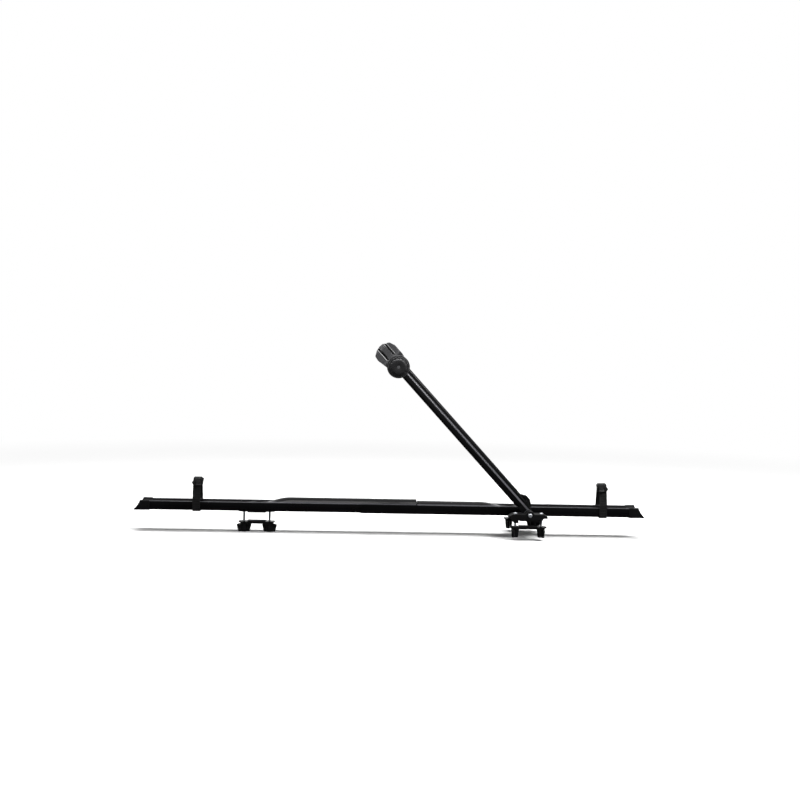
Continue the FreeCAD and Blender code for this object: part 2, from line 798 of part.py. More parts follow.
def arm_tube():
    tube = cut(arm_section(0, (ARM_START, ARM_END)), arm_section(ARM_WALL, (ARM_START, ARM_END)))
    bolt = cross_bar(CLAMP_BOLT_R + RUN_CLEAR, CLAMP_REACH, (ARM_NEAR, ARM_FAR))
    guide = cross_bar(PIN_R, CLAMP_REACH - PIN_SET_BACK, (ARM_NEAR, ARM_FAR))
    return raised(cut(tube, bolt, guide, foot_pin()))


def arm_foot():
    """The cast eye at the arm's lower end, with a plug in the tube and a gusset above it."""
    eye = cross_bar(EYE_R, 0, (ARM_NEAR, ARM_FAR))
    taper = [(0, -EYE_R), (ARM_START, ARM_LOW), (ARM_START, ARM_HIGH), (0, EYE_R)]
    shank = arm_prism(taper, 0, (ARM_NEAR, ARM_FAR))
    plug = arm_section(ARM_WALL + PLUG_CLEAR, (ARM_START, ARM_START + PLUG_LENGTH))
    top = ARM_HIGH + GUSSET_HEIGHT
    gusset = arm_prism(
        [
            (GUSSET_FOOT, EYE_R - GUSSET_LAP),
            (ARM_START, ARM_HIGH - GUSSET_LAP),
            (ARM_START, ARM_HIGH),
            (GUSSET_END, ARM_HIGH),
            (GUSSET_END - GUSSET_TAIL, ARM_HIGH + GUSSET_LAP),
            (ARM_START + GUSSET_TOP[1], top),
            (ARM_START + GUSSET_TOP[0], top),
            (GUSSET_HEEL, ARM_HIGH + GUSSET_LAP),
        ],
        [0, 0, 0, 0, GUSSET_LAP / 2, GUSSET_ROUND, GUSSET_ROUND, GUSSET_ROUND],
        (ARM_MID - GUSSET_THICK / 2, ARM_MID + GUSSET_THICK / 2),
    )
    body = fuse(eye, shank, plug, gusset)
    hole = cross_bar(PIVOT_R + RUN_CLEAR + BUSH_WALL, 0, (ARM_NEAR, ARM_FAR))
    return raised(cut(body, hole, foot_pin()))


def pivot_bush():
    outer = cross_bar(PIVOT_R + RUN_CLEAR + BUSH_WALL, 0, (ARM_NEAR, ARM_FAR))
    bore = cross_bar(PIVOT_R + RUN_CLEAR, 0, (ARM_NEAR - PAST, ARM_FAR + PAST))
    return raised(cut(outer, bore))


def pivot_bolt():
    seat = vec(PIVOT_X, -BLOCK_OUT, PIVOT_Z)
    head = dome_head(PIVOT_HEAD_R, PIVOT_HEAD, seat, (0, -1, 0))
    shank = bar(PIVOT_R, seat, vec(PIVOT_X, -CRADLE_IN, PIVOT_Z))
    key_start = vec(PIVOT_X, -BLOCK_OUT - PIVOT_HEAD - PAST, PIVOT_Z)
    key = hexagon(KEY_ACROSS, key_start, vec(0, 1, 0), KEY_DEPTH + PAST)
    return cut(fuse(head, shank), key)


def pivot_nut():
    seat = vec(PIVOT_X, pivot_nut_y(), PIVOT_Z)
    return nut(PIVOT_NUT_ACROSS, seat, (0, 1, 0), PIVOT_NUT, PIVOT_R)


def pivot_washers():
    washers = []
    for low, high in (
        (-BLOCK_IN, ARM_NEAR - WASHER_GAP),
        (ARM_FAR + WASHER_GAP, -CRADLE_OUT),
    ):
        ring = bar(PIVOT_BOSS_R, vec(PIVOT_X, low, PIVOT_Z), vec(PIVOT_X, high, PIVOT_Z))
        washers.append(cut(ring, pivot_hole()))
    return Part.makeCompound(washers)


# Frame clamp

def ring_point(radius, degrees, across):
    """A point round the clamped tube; 0 degrees is away from the pivot and 90 the near side."""
    angle = math.radians(degrees)
    return along(TUBE_REACH + radius * math.cos(angle), -radius * math.sin(angle), across)


def ring_arc(radius, start, end, across):
    middle = (start + end) / 2
    return arc(*[ring_point(radius, a, across) for a in (start, middle, end)])


def ring_piece(inner, outer, start, end, across):
    """A stretch of ring round the clamped tube."""

    def edges(v):
        return [
            ring_arc(outer, start, end, v),
            line(ring_point(outer, end, v), ring_point(inner, end, v)),
            ring_arc(inner, end, start, v),
            line(ring_point(inner, start, v), ring_point(outer, start, v)),
        ]

    return clamp_prism(edges, across)


def near_jaw_outline(v):
    """The near jaw's outline from its finger tip round the tube and down to the hub."""
    web = [
        ring_point(JAW_OUT, NEAR_SHOULDER_ANGLE, v),
        along(TUBE_REACH - WEB_INSET, -JAW_OUT - JAW_WALL, v),
        along(CLAMP_REACH + HUB_R - WEB_LAP, HUB_NEAR + HUB_WALL + HUB_SKIN, v),
        along(CLAMP_REACH + WEB_INSET, HUB_NEAR + HUB_WALL, v),
        along(CLAMP_REACH + WEB_INSET, HUB_FAR - HUB_SKIN / 2, v),
        along(TUBE_REACH - JAW_OUT + WEB_LAP, HUB_FAR + WEB_LAP, v),
        along(TUBE_REACH - JAW_OUT + HEEL_SET, HUB_FAR + HEEL_RISE, v),
        ring_point(JAW_IN, NEAR_HEEL_ANGLE, v),
    ]
    edges = [ring_arc(JAW_OUT, NEAR_TIP_ANGLE, NEAR_SHOULDER_ANGLE, v)]
    edges += [line(a, b) for a, b in zip(web, web[1:])]
    edges.append(ring_arc(JAW_IN, NEAR_HEEL_ANGLE, NEAR_TIP_ANGLE, v))
    edges.append(line(ring_point(JAW_IN, NEAR_TIP_ANGLE, v), ring_point(JAW_OUT, NEAR_TIP_ANGLE, v)))
    return edges


def jaw_envelope(inset):
    """The jaw's rounded side view, through its whole depth, made smaller by inset."""
    right = [(CLAMP_REACH + u - inset, v - inset) for u, v in JAW_RIGHT]
    left = [(CLAMP_REACH + u - inset, inset - v) for u, v in reversed(JAW_LEFT)]
    radii = JAW_ROUND + JAW_ROUND[::-1]
    return arm_prism(right + left, radii, (-4 * HUB_R, 4 * HUB_R))


def guide_pin():
    """The pin beside the clamp bolt that keeps the far jaw square."""
    return raised(cross_bar(PIN_R, CLAMP_REACH - PIN_SET_BACK, (HUB_NEAR + HUB_SKIN, PIN_END)))


def clamp_head():
    """The hub on the arm's top end, with the near jaw's three fingers."""
    spread = (NEAR_FINGERS[0][0], NEAR_FINGERS[-1][1])
    jaw = clamp_prism(near_jaw_outline, spread).common(jaw_envelope(0))
    hub = cross_bar(HUB_R, CLAMP_REACH, (HUB_NEAR, HUB_FAR))
    slots = []
    for left, right in zip(NEAR_FINGERS, NEAR_FINGERS[1:]):
        low = along(TUBE_REACH + 2 * JAW_OUT, HUB_NEAR - PAST, left[1])
        length = TUBE_SET + 2 * JAW_OUT - HUB_R
        slots.append(Part.makeBox(length, -HUB_NEAR + 2 * PAST, right[0] - left[1], low))
    arm = arm_section(0, (ARM_START, ARM_END))
    bolt_span = (HUB_NEAR - PAST, HUB_FAR + PAST)
    bolt = cross_bar(CLAMP_BOLT_R + RUN_CLEAR, CLAMP_REACH, bolt_span)
    pin_span = (HUB_NEAR + HUB_SKIN, HUB_FAR + PAST)
    guide = cross_bar(PIN_R, CLAMP_REACH - PIN_SET_BACK, pin_span)
    return raised(cut(fuse(jaw, hub), arm, bolt, guide, *slots))


def near_liners():
    pads = []
    start = NEAR_TIP_ANGLE + LINER_MARGIN_ANGLE
    end = NEAR_HEEL_ANGLE - LINER_MARGIN_ANGLE
    for low, high in NEAR_FINGERS:
        span = (low + LINER_INSET, high - LINER_INSET)
        pads.append(ring_piece(TUBE_R, JAW_IN, start, end, span).common(jaw_envelope(LINER_INSET)))
    return raised(Part.makeCompound(pads))


def far_fingers():
    """The far jaw's fingers, each in one slot of the near jaw."""
    return [
        (left[1] + FINGER_CLEAR, right[0] - FINGER_CLEAR)
        for left, right in zip(NEAR_FINGERS, NEAR_FINGERS[1:])
    ]


def far_jaw():
    fingers = far_fingers()
    spread = (fingers[0][0], fingers[-1][1])
    spine = ring_piece(JAW_IN, SPINE_OUT, FAR_HEEL_ANGLE, FAR_SHOULDER_ANGLE, spread)
    tips = [ring_piece(JAW_IN, SPINE_OUT, FAR_SHOULDER_ANGLE, FAR_TIP_ANGLE, finger) for finger in fingers]
    base_top = TUBE_REACH - JAW_IN + PAST
    base_low = CLAMP_REACH - PIN_SET_BACK - 2.5 * PIN_R
    corner = along(base_top, FAR_BASE[0], -FAR_BASE_HALF)
    base = Part.makeBox(
        base_top - base_low, FAR_BASE[1] - FAR_BASE[0], 2 * FAR_BASE_HALF, corner
    )
    hole_span = (FAR_BASE[0] - PAST, FAR_BASE[1] + PAST)
    bolt = cross_bar(CLAMP_BOLT_R + 4 * RUN_CLEAR, CLAMP_REACH, hole_span)
    guide = cross_bar(PIN_R + PIN_CLEAR, CLAMP_REACH - PIN_SET_BACK, hole_span)
    tube = cross_section_tube(JAW_IN)
    body = cut(fuse(spine, base, *tips), bolt, guide, tube, nut_pocket())
    limit = arm_prism(
        [
            (base_low - PAST, -FAR_BASE_HALF - PAST),
            (FAR_TIP_REACH, -FAR_BASE_HALF - PAST),
            (FAR_TIP_REACH, FAR_BASE_HALF + PAST),
            (base_low - PAST, FAR_BASE_HALF + PAST),
        ],
        [0, FAR_TIP_ROUND, FAR_TIP_ROUND, 0],
        (-4 * HUB_R, 4 * HUB_R),
    )
    return raised(body.common(limit))


def cross_section_tube(radius):
    """The clamped tube's own space, as a bar across the arm."""
    reach = 4 * HUB_R
    return bar(radius, along(TUBE_REACH, 0, -reach), along(TUBE_REACH, 0, reach))


def nut_pocket():
    start = along(CLAMP_REACH, FAR_BASE[1] - CLAMP_NUT, 0)
    return hexagon(CLAMP_NUT_ACROSS, start, vec(0, 1, 0), CLAMP_NUT)


def far_nut():
    bore = (FAR_BASE[0], FAR_BASE[1] + PAST)
    return raised(cut(nut_pocket(), cross_bar(CLAMP_BOLT_R + RUN_CLEAR, CLAMP_REACH, bore)))


def far_liner():
    fingers = far_fingers()
    across = (fingers[0][0] + LINER_INSET, fingers[-1][1] - LINER_INSET)
    start = FAR_HEEL_ANGLE + 2 * LINER_MARGIN_ANGLE
    return raised(ring_piece(TUBE_R, JAW_IN, start, FAR_SHOULDER_ANGLE, across))


def clamp_bolt_shape():
    head_y = CLAMP_KNOB_BACK - CLAMP_KNOB_HEIGHT / 2
    shank = cross_bar(CLAMP_BOLT_R, CLAMP_REACH, (head_y, CLAMP_BOLT_END))
    head = hexagon(CLAMP_NUT_ACROSS, along(CLAMP_REACH, head_y, 0), vec(0, 1, 0), CLAMP_NUT)
    return fuse(shank, head)


def clamp_bolt():
    return raised(clamp_bolt_shape())


def lock_span():
    face = CLAMP_KNOB_FACE + LOCK_SUNK
    return (face, face + LOCK_LENGTH)


def clamp_knob():
    """A round hand knob with finger flutes, a stepped and bevelled face and a lock pocket."""
    grip = cross_bar(CLAMP_KNOB_R, CLAMP_REACH, (CLAMP_KNOB_FACE + KNOB_STEP, CLAMP_KNOB_BACK))
    bevel_r = KNOB_FACE_R + KNOB_BEVEL
    bevel_end = CLAMP_KNOB_FACE + KNOB_BEVEL
    step = cross_bar(bevel_r, CLAMP_REACH, (bevel_end, CLAMP_KNOB_BACK))
    centre = along(CLAMP_REACH, CLAMP_KNOB_FACE, 0)
    bevel = Part.makeCone(KNOB_FACE_R, bevel_r, KNOB_BEVEL, centre, vec(0, 1, 0))
    body = fuse(grip, step, bevel)
    tools = [clamp_bolt_shape()]
    flute_ring = CLAMP_KNOB_R + FLUTE_R - FLUTE_DEPTH
    for i in range(KNOB_FLUTES):
        angle = 2 * math.pi * (i + 0.5) / KNOB_FLUTES
        reach = CLAMP_REACH + flute_ring * math.cos(angle)
        across = flute_ring * math.sin(angle)
        start = along(reach, CLAMP_KNOB_FACE - PAST, across)
        tools.append(bar(FLUTE_R, start, along(reach, CLAMP_KNOB_BACK - FLUTE_STOP, across)))
    tools.append(cross_bar(LOCK_R + RUN_CLEAR, CLAMP_REACH, (CLAMP_KNOB_FACE, lock_span()[1])))
    return raised(cut(body, *tools))


def lock_barrel():
    barrel = cross_bar(LOCK_R, CLAMP_REACH, lock_span())
    corner = along(CLAMP_REACH + LOCK_R / 2, lock_span()[0] - PAST, -KEY_SLOT / 2)
    slot = Part.makeBox(LOCK_R, KEY_SLOT_DEPTH + PAST, KEY_SLOT, corner)
    return raised(cut(barrel, slot))


# Wheel straps

def strap_loop(half, bottom, gap):
    """The strap's outline round the rail and wheel, gap outside its inner face."""
    low = bottom - STRAP_CLEAR - gap
    side = half + STRAP_CLEAR + gap
    top_half = STRAP_TOP_HALF + gap
    lean = LIP + STRAP_LEAN_START
    top = STRAP_TOP - STRAP_THICK + gap
    right = [(side, low), (side, lean), (top_half, top)]
    left = [(-a, b) for a, b in reversed(right)]
    bends = [CORNER + gap, STRAP_SIDE_BEND + gap, STRAP_TOP_BEND + gap]
    return right + left, bends + bends[::-1]


def strap(x, half, bottom):
    span = (x - STRAP_WIDTH / 2, x + STRAP_WIDTH / 2)
    outer = prism_yz(*strap_loop(half, bottom, STRAP_THICK), span)
    inner = prism_yz(*strap_loop(half, bottom, 0), span)
    return cut(outer, inner)


def strap_lean(half):
    """How far the strap's upper sides lean in, in degrees, and the outer face at the buckle."""
    side = half + STRAP_CLEAR + STRAP_THICK
    top_half = STRAP_TOP_HALF + STRAP_THICK
    rise = STRAP_TOP - LIP - STRAP_LEAN_START
    degrees = math.degrees(math.atan((side - top_half) / rise))
    y = -(side - (side - top_half) * (BUCKLE_HEIGHT - LIP - STRAP_LEAN_START) / rise)
    return degrees, y


def leaned(shape, half):
    """Turns a buckle piece from upright on the strap's outer face to the strap's lean."""
    degrees, y = strap_lean(half)
    shape.translate(vec(0, y, BUCKLE_HEIGHT))
    shape.rotate(vec(0, y, BUCKLE_HEIGHT), vec(1, 0, 0), -degrees)
    return shape


def lever_pin_place():
    """The lever pin's place on an upright buckle: outward from the strap, and up along it."""
    return -(BUCKLE_BASE + CHEEK_RISE / 2), BUCKLE_LENGTH / 2 - LEVER_PIN_SET


def buckle_middle(x, inward):
    """The middle between a buckle's cheeks; inward is +1 or -1 towards the rail's middle."""
    return x + inward * BUCKLE_SHIFT


def buckle(x, half, inward):
    """The buckle's pointed base on the strap with two cheeks that carry the lever's pin."""
    length = BUCKLE_LENGTH / 2
    outline = [
        (-BUCKLE_POINT + POINT_TOP_SET, length),
        (-BUCKLE_POINT, -POINT_DROP),
        (-BUCKLE_POINT + POINT_FOOT_SET, -length),
        (BUCKLE_INNER_FOOT, -length),
        (BUCKLE_INNER_TOP, length),
    ]
    points = [(x + inward * a, b) for a, b in outline]
    base = prism_xz(points, BUCKLE_ROUND, (-BUCKLE_BASE, 0))
    middle = buckle_middle(x, inward)
    cheeks = []
    for side in (-1, 1):
        outer = middle + side * BUCKLE_HALF
        inner = outer - side * BUCKLE_CHEEK
        profile = [
            (-BUCKLE_BASE, -length),
            (-BUCKLE_BASE, length),
            (-BUCKLE_BASE - CHEEK_RISE, length),
            (-BUCKLE_BASE - CHEEK_RISE, 0),
        ]
        radii = [0, 0, CHEEK_ROUND, CHEEK_ROUND]
        cheeks.append(prism_yz(profile, radii, sorted((inner, outer))))
    return leaned(cut(fuse(base, *cheeks), lever_pin_bar(middle)), half)


def lever_pin_bar(middle):
    out, up = lever_pin_place()
    return bar(LEVER_PIN_R, vec(middle - BUCKLE_HALF, out, up), vec(middle + BUCKLE_HALF, out, up))


def lever_pin(x, half, inward):
    return leaned(lever_pin_bar(buckle_middle(x, inward)), half)


def lever(x, half, inward):
    """The buckle's lever, with a knuckle on the pin and a thumb tab at its lower end."""
    out, up = lever_pin_place()
    middle = buckle_middle(x, inward)
    width = BUCKLE_HALF - BUCKLE_CHEEK - LEVER_CLEAR
    span = (middle - width, middle + width)
    knuckle_r = CHEEK_RISE / 2 - LEVER_CLEAR
    knuckle = bar(knuckle_r, vec(span[0], out, up), vec(span[1], out, up))
    back = out - knuckle_r
    front = back + LEVER_THICK
    foot = -BUCKLE_LENGTH / 2
    profile = [
        (back, up),
        (front, up),
        (front, foot + LEVER_TAB),
        (front - TAB_FLARE, foot - LEVER_TAB),
        (back - LEVER_TAB, foot - LEVER_TAB),
        (back, foot + TAB_FLARE),
    ]
    plate = prism_yz(profile, [0, 0, 0, TAB_ROUND, TAB_ROUND, 0], span)
    bore = LEVER_PIN_R + RUN_CLEAR
    pin = bar(bore, vec(span[0] - PAST, out, up), vec(span[1] + PAST, out, up))
    return leaned(cut(fuse(knuckle, plate), pin), half)


def rail_nodes():
    return {
        "rear_rail": rear_rail(),
        "front_rail": front_rail(),
        "rail_bolts": rail_bolts(),
        "rail_nuts": rail_nuts(),
        "rear_end_cap": end_cap(REAR_TIP, 1, REAR_HALF, REAR_SEAT),
        "front_end_cap": end_cap(FRONT_TIP, -1, FRONT_HALF, RAIL_SEAT),
        "front_saddle": front_saddle(),
        "front_seat_pads": seat_pads(),
        "front_saddle_screws": saddle_screws(),
        "front_saddle_nuts": saddle_nuts(),
        "front_clamp_bolts": clamp_bolt_set(front_bolt_places(), BLOCK_TOP, FRONT_GRIP),
        "rear_saddle": rear_saddle(),
        "rear_seat_pad": rear_seat_pad(),
        "rear_clamp_bolts": clamp_bolt_set(rear_bolt_places(), REAR_SEAT + SKIN, REAR_GRIP),
        "pivot_bolt": pivot_bolt(),
        "pivot_nut": pivot_nut(),
        "pivot_washers": pivot_washers(),
    }


def arm_nodes():
    return {
        "arm_tube": arm_tube(),
        "arm_foot": arm_foot(),
        "arm_foot_pin": raised(foot_pin()),
        "pivot_bush": pivot_bush(),
        "clamp_head": clamp_head(),
        "near_jaw_liners": near_liners(),
        "guide_pin": guide_pin(),
        "clamp_knob": clamp_knob(),
        "clamp_bolt": clamp_bolt(),
        "lock_barrel": lock_barrel(),
        "far_jaw": far_jaw(),
        "far_jaw_liner": far_liner(),
        "far_jaw_nut": far_nut(),
    }


def crossbar_clamp_nodes():
    nodes = {}
    clamps = (
        ("near", FRONT_BAR, -BOLT_Y, FRONT_GRIP, NEAR_KNOB_TURNS),
        ("far", FRONT_BAR, BOLT_Y, FRONT_GRIP, FAR_KNOB_TURNS),
        ("rear", REAR_BAR, 0, REAR_GRIP, REAR_KNOB_TURNS),
    )
    for name, x, y, grip, turns in clamps:
        nodes[name + "_clamp_plate"] = clamp_plate(x, y, grip)
        nodes[name + "_clamp_pad"] = clamp_pad(x, y, grip)
        for label, side, turn in (("left", -1, turns[0]), ("right", 1, turns[1])):
            knob, insert = wing_knob(x + side * BOLT_X, y, grip, turn)
            nodes[f"{name}_{label}_knob"] = knob
            nodes[f"{name}_{label}_insert"] = insert
    return nodes


def strap_nodes():
    nodes = {}
    for name, x, half, bottom, inward in (
        ("rear", REAR_STRAP_X, REAR_HALF, REAR_SEAT, 1),
        ("front", FRONT_STRAP_X, FRONT_HALF, RAIL_SEAT, -1),
    ):
        nodes[name + "_strap"] = strap(x, half, bottom)
        nodes[name + "_buckle"] = buckle(x, half, inward)
        nodes[name + "_lever_pin"] = lever_pin(x, half, inward)
        nodes[name + "_lever"] = lever(x, half, inward)
    return nodes


def main():
    os.makedirs("parts", exist_ok=True)
    nodes = {**rail_nodes(), **arm_nodes(), **crossbar_clamp_nodes(), **strap_nodes()}
    for name, shape in nodes.items():
        shape.exportStep(f"parts/{name}.step")
        box = shape.BoundBox
        state = "valid" if shape.isValid() else "NOT VALID"
        print(
            f"{name:22} {state} solids {len(shape.Solids)} volume {shape.Volume / 1000:8.2f} cm3 "
            f"x {box.XMin:8.1f} {box.XMax:8.1f} y {box.YMin:7.1f} {box.YMax:7.1f} "
            f"z {box.ZMin:7.1f} {box.ZMax:7.1f}"
        )
    print(f"{len(nodes)} nodes")


main()
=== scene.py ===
import json
import math

import bmesh
import bpy
from mathutils import Matrix, Vector

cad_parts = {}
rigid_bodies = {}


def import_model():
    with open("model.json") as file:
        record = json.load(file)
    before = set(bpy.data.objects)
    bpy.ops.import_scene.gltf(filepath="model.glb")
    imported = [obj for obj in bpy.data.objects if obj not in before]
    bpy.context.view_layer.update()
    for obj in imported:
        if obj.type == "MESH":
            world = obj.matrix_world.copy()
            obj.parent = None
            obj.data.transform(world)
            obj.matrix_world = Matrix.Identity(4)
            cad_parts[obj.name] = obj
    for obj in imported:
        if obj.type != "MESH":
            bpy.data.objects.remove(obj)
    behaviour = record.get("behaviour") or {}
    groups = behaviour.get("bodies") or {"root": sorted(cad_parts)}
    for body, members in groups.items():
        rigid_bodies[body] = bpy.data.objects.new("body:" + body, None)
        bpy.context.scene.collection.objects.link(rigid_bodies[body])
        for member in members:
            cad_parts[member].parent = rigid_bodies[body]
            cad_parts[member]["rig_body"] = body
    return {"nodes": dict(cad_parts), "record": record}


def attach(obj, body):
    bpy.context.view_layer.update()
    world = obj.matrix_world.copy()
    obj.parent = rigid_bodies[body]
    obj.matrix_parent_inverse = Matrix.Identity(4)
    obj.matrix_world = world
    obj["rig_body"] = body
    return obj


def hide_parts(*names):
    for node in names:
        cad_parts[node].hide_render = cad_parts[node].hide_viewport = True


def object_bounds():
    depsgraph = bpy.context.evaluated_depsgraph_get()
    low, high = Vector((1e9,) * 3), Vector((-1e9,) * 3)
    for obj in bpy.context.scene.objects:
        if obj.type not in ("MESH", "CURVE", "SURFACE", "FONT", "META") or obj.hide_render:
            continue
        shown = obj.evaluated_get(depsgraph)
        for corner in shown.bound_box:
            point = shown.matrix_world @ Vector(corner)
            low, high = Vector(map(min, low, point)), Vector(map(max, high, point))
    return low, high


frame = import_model()
CAD_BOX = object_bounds()
NODES = frame["nodes"]
SLOT_OF = {row["node"]: row["material_slot"] for row in frame["record"]["subparts"]}
MM = 0.001

# Camera: 60 mm lens on a 36 mm sensor, at the photograph's place and angle
LENS = 60.0
SENSOR = 36.0
CAMERA_AT = Vector((-0.4192, -3.548, 0.4955))
PITCH_DOWN = math.radians(3.051)
YAW_RIGHT = math.radians(1.269)
ROLL = math.radians(1.097)

# Stage in metres: the floor takes shadows near the carrier and turns plain white further off
MIDDLE = -0.36
FLOOR_GAP = 0.0003
FLOOR_SIZE = 60.0
FLOOR_FADE = (0.8, 3.2)
FLOOR_WHITES = ((0.91, 0.91, 0.91), (0.93, 0.93, 0.93))
FLOOR_BOUNCE = (0.1, 0.1, 0.1)
WORLD_FILL = 0.15

# Area lights: place, aim, width and depth, watts
LIGHTS = {
    "overhead": ((MIDDLE, 0.1, 2.6), (MIDDLE, 0.1, 0), (3.0, 0.8), 130),
    "front": ((-1.9, -2.6, 1.7), (MIDDLE, 0, 0.1), (1.4, 1.0), 10),
    "side": ((1.4, -1.1, 2.0), (-0.3, 0, 0.2), (0.9, 0.9), 70),
}

# How many steps and points round forms are made with
CORNER_STEPS = 6
BEAD_STEPS = 12
ARCH_STEPS = 16
NOSE_RINGS = 40
ROUND_STEPS = 8
STRAP_STEPS = 24
STEPS_A_DEGREE = 2
ROD_POINTS = 20
HEAD_POINTS = 28
PIVOT_POINTS = 96
WING_POINTS = 144
KNOB_POINTS = 288
GRIP_STEPS = 12
GRIP_POINTS = 10

# Edges sharper than these angles in degrees stay sharp
METAL_EDGE = 30.0
CAST_EDGE = 35.0
MOULDED_EDGE = 40.0
LONG_EDGE = 50.0

# From here on sizes are in millimetres, as in the solid model

# Wheel rail
SKIN = 1.2
BEAD = 2.25
CORNER = 4.0
REAR_HALF = 31.0
FRONT_HALF = 32.7
RAIL_SEAT = 5.0
REAR_SEAT = 6.2
TROUGH_FLOOR = 8.0
LIP = 30.0
LEAST_RISE = 0.01
REAR_CROWN = 41.0
FRONT_CROWN = 37.0
REAR_ENDS = (-1021.0, -292.0)
FRONT_ENDS = (297.0, -290.0)
REAR_NOSE = (-751.0, -626.0)
FRONT_NOSE = (5.0, -123.0)
SOCKET = (-441.0, -290.0)

# Arm
PIVOT = (3.0, 15.0)
ARM_ANGLE = math.radians(47.4)
ARM_MID = -50.4
ARM_DEPTH = 18.0
ARM_FACE = 30.0
ARM_CORNER = 7.0
ARM_LIFT = 4.0
ARM_ENDS = (30.0, 541.0)
ARM_MOUTH = ((0.0, 0.6), (0.4, 0.15), (1.0, 0.0))
CREASE_LOW = 1.0
CREASE_HIGH = 3.4
CREASE_STEP = 1.6
CREASE_ROUND = 0.8

# Clamp bolts and pivot bolt
BOLT_R = 3.0
BOLT_PITCH = 1.0
BOLT_THREAD = 0.35
BOLT_X = 34.0
BOLT_Y = 79.9
BOLT_HEAD_R = 5.5
BOLT_HEAD = 3.5
HEAD_RIM = 0.5
FRONT_BOLT = (-37.0, 18.0)
REAR_BOLT = (-45.0, 7.4)
REAR_BAR = -717.0
PIVOT_SEAT = -97.9
PIVOT_BACK = -32.9
PIVOT_R = 4.0
PIVOT_HEAD_R = 5.8
PIVOT_HEAD = 4.0
KEY_R = 2.9
KEY_RIM = 0.3
KEY_DEPTH = 3.0
KEY_CONE = 0.3
KEY_TURN = 0.3
PIVOT_DOME = (
    (PIVOT_HEAD_R, -0.7), (5.6, -1.3), (5.2, -2.1), (4.6, -2.9), (4.0, -3.5), (3.6, -3.8),
    (KEY_R + 0.35, -3.9), (KEY_R + 0.1, -3.8), (KEY_R, -3.5),
)

# Wing knobs; each level is a height over the foot, the core's radius and a wing's length and
# half width
FRONT_KNOB_TOP = -18.8
REAR_KNOB_TOP = -26.8
KNOB_HEIGHT = 25.0
BORE_R = 3.9
INSERT_R = 6.0
INSERT_HEIGHT = 8.0
COLLAR_R = 10.5
KNURLS = 18
KNURL_DEPTH = 0.22
WING_SQUARENESS = 6
WING_BLEND = 10
WING_LEVELS = (
    (KNOB_HEIGHT - INSERT_HEIGHT, BORE_R, 0, 0),
    (1.6, BORE_R, 0, 0),
    (1.2, BORE_R + 0.4, 0, 0),
    (1.2, 4.9, 0, 0),
    (0.3, 5.6, 0, 0),
    (0.0, 7.2, 13.0, 2.0),
    (0.4, 8.0, 14.6, 2.8),
    (1.4, 8.5, 15.8, 3.2),
    (3.2, 8.7, 16.6, 3.3),
    (7.0, 9.0, 17.2, 2.9),
    (11.0, 9.4, 18.2, 2.8),
    (14.5, 9.8, 19.2, 3.1),
    (17.0, 10.0, 19.9, 3.5),
    (18.4, 10.1, 20.0, 3.5),
    (19.4, 10.2, 19.6, 3.4),
    (20.0, 10.2, 18.9, 3.1),
    (20.7, 10.3, 17.2, 2.8),
    (21.5, 10.3, 14.5, 2.4),
    (21.9, 10.4, 11.5, 2.0),
    (22.1, 10.4, 0, 0),
    (22.5, 10.1, 0, 0),
    (23.0, COLLAR_R, 0, 0),
    (24.1, COLLAR_R, 0, 0),
    (24.7, 10.2, 0, 0),
    (KNOB_HEIGHT, 9.6, 0, 0),
    (KNOB_HEIGHT, 7.6, 0, 0),
    (24.6, 7.3, 0, 0),
    (23.8, 7.2, 0, 0),
    (23.8, INSERT_R, 0, 0),
    (KNOB_HEIGHT - INSERT_HEIGHT, INSERT_R, 0, 0),
)

# Wing knobs' places: middle of the pair, top, and how far each knob is turned in degrees
WING_PAIRS = {
    "near": (0.0, -BOLT_Y, FRONT_KNOB_TOP, (62.0, -70.0)),
    "far": (0.0, BOLT_Y, FRONT_KNOB_TOP, (80.0, -25.0)),
    "rear": (REAR_BAR, 0.0, REAR_KNOB_TOP, (20.0, -12.0)),
}

# Frame clamp; the knob's profile is radius and height over its back, from the skirt to the
# pocket in its face
CLAMP_REACH = 518.0
TUBE_REACH = 562.0
CLAMP_KNOB_R = 27.0
CLAMP_KNOB_BACK = -64.7
CLAMP_KNOB_HEIGHT = 26.0
KNOB_SKIRT = [
    (5.2, 0.0), (23.5, 0.0), (24.4, 0.3), (25.3, 0.9), (26.0, 1.8), (26.5, 3.0), (26.8, 5.0),
    (CLAMP_KNOB_R, 7.0), (CLAMP_KNOB_R, 10.0), (CLAMP_KNOB_R, 13.0), (CLAMP_KNOB_R, 15.5),
]
KNOB_SHOULDER = (25.0, 16.0)
KNOB_SHOULDER_R = 2.0
KNOB_FACE = [
    (23.3, 18.0), (22.9, 18.1), (22.7, 18.5), (22.7, 20.6), (22.5, 21.1), (22.1, 21.7),
    (18.5, 25.3), (17.9, 25.75), (17.2, CLAMP_KNOB_HEIGHT),
]
LOCK_POCKET = [(4.9, CLAMP_KNOB_HEIGHT), (4.5, 25.8), (4.3, 25.2), (4.3, 21.0)]
FLUTES = 12
FLUTE_R = 5.0
FLUTE_DEPTH = 1.6
FLUTE_INNER = 22.0
FLUTE_START = 3.0
FLUTE_FADE = 5.0
CLAMP_BOLT_R = 5.0
CLAMP_BOLT_PITCH = 1.5
CLAMP_BOLT_THREAD = 0.6
CLAMP_BOLT_ENDS = (-64.2, 58.0)
TUBE_R = 23.5
JAW_IN = 26.0
JAW_INSET = 1.3
JAW_LEFT = ((-8.0, 20.0), (15.0, 23.0), (46.0, 30.0), (60.0, 28.0), (68.5, 15.0), (72.0, 5.0))
JAW_RIGHT = ((-8.0, 20.0), (9.0, 29.0), (26.0, 32.0), (48.0, 31.0), (63.0, 25.0), (71.5, 10.0))

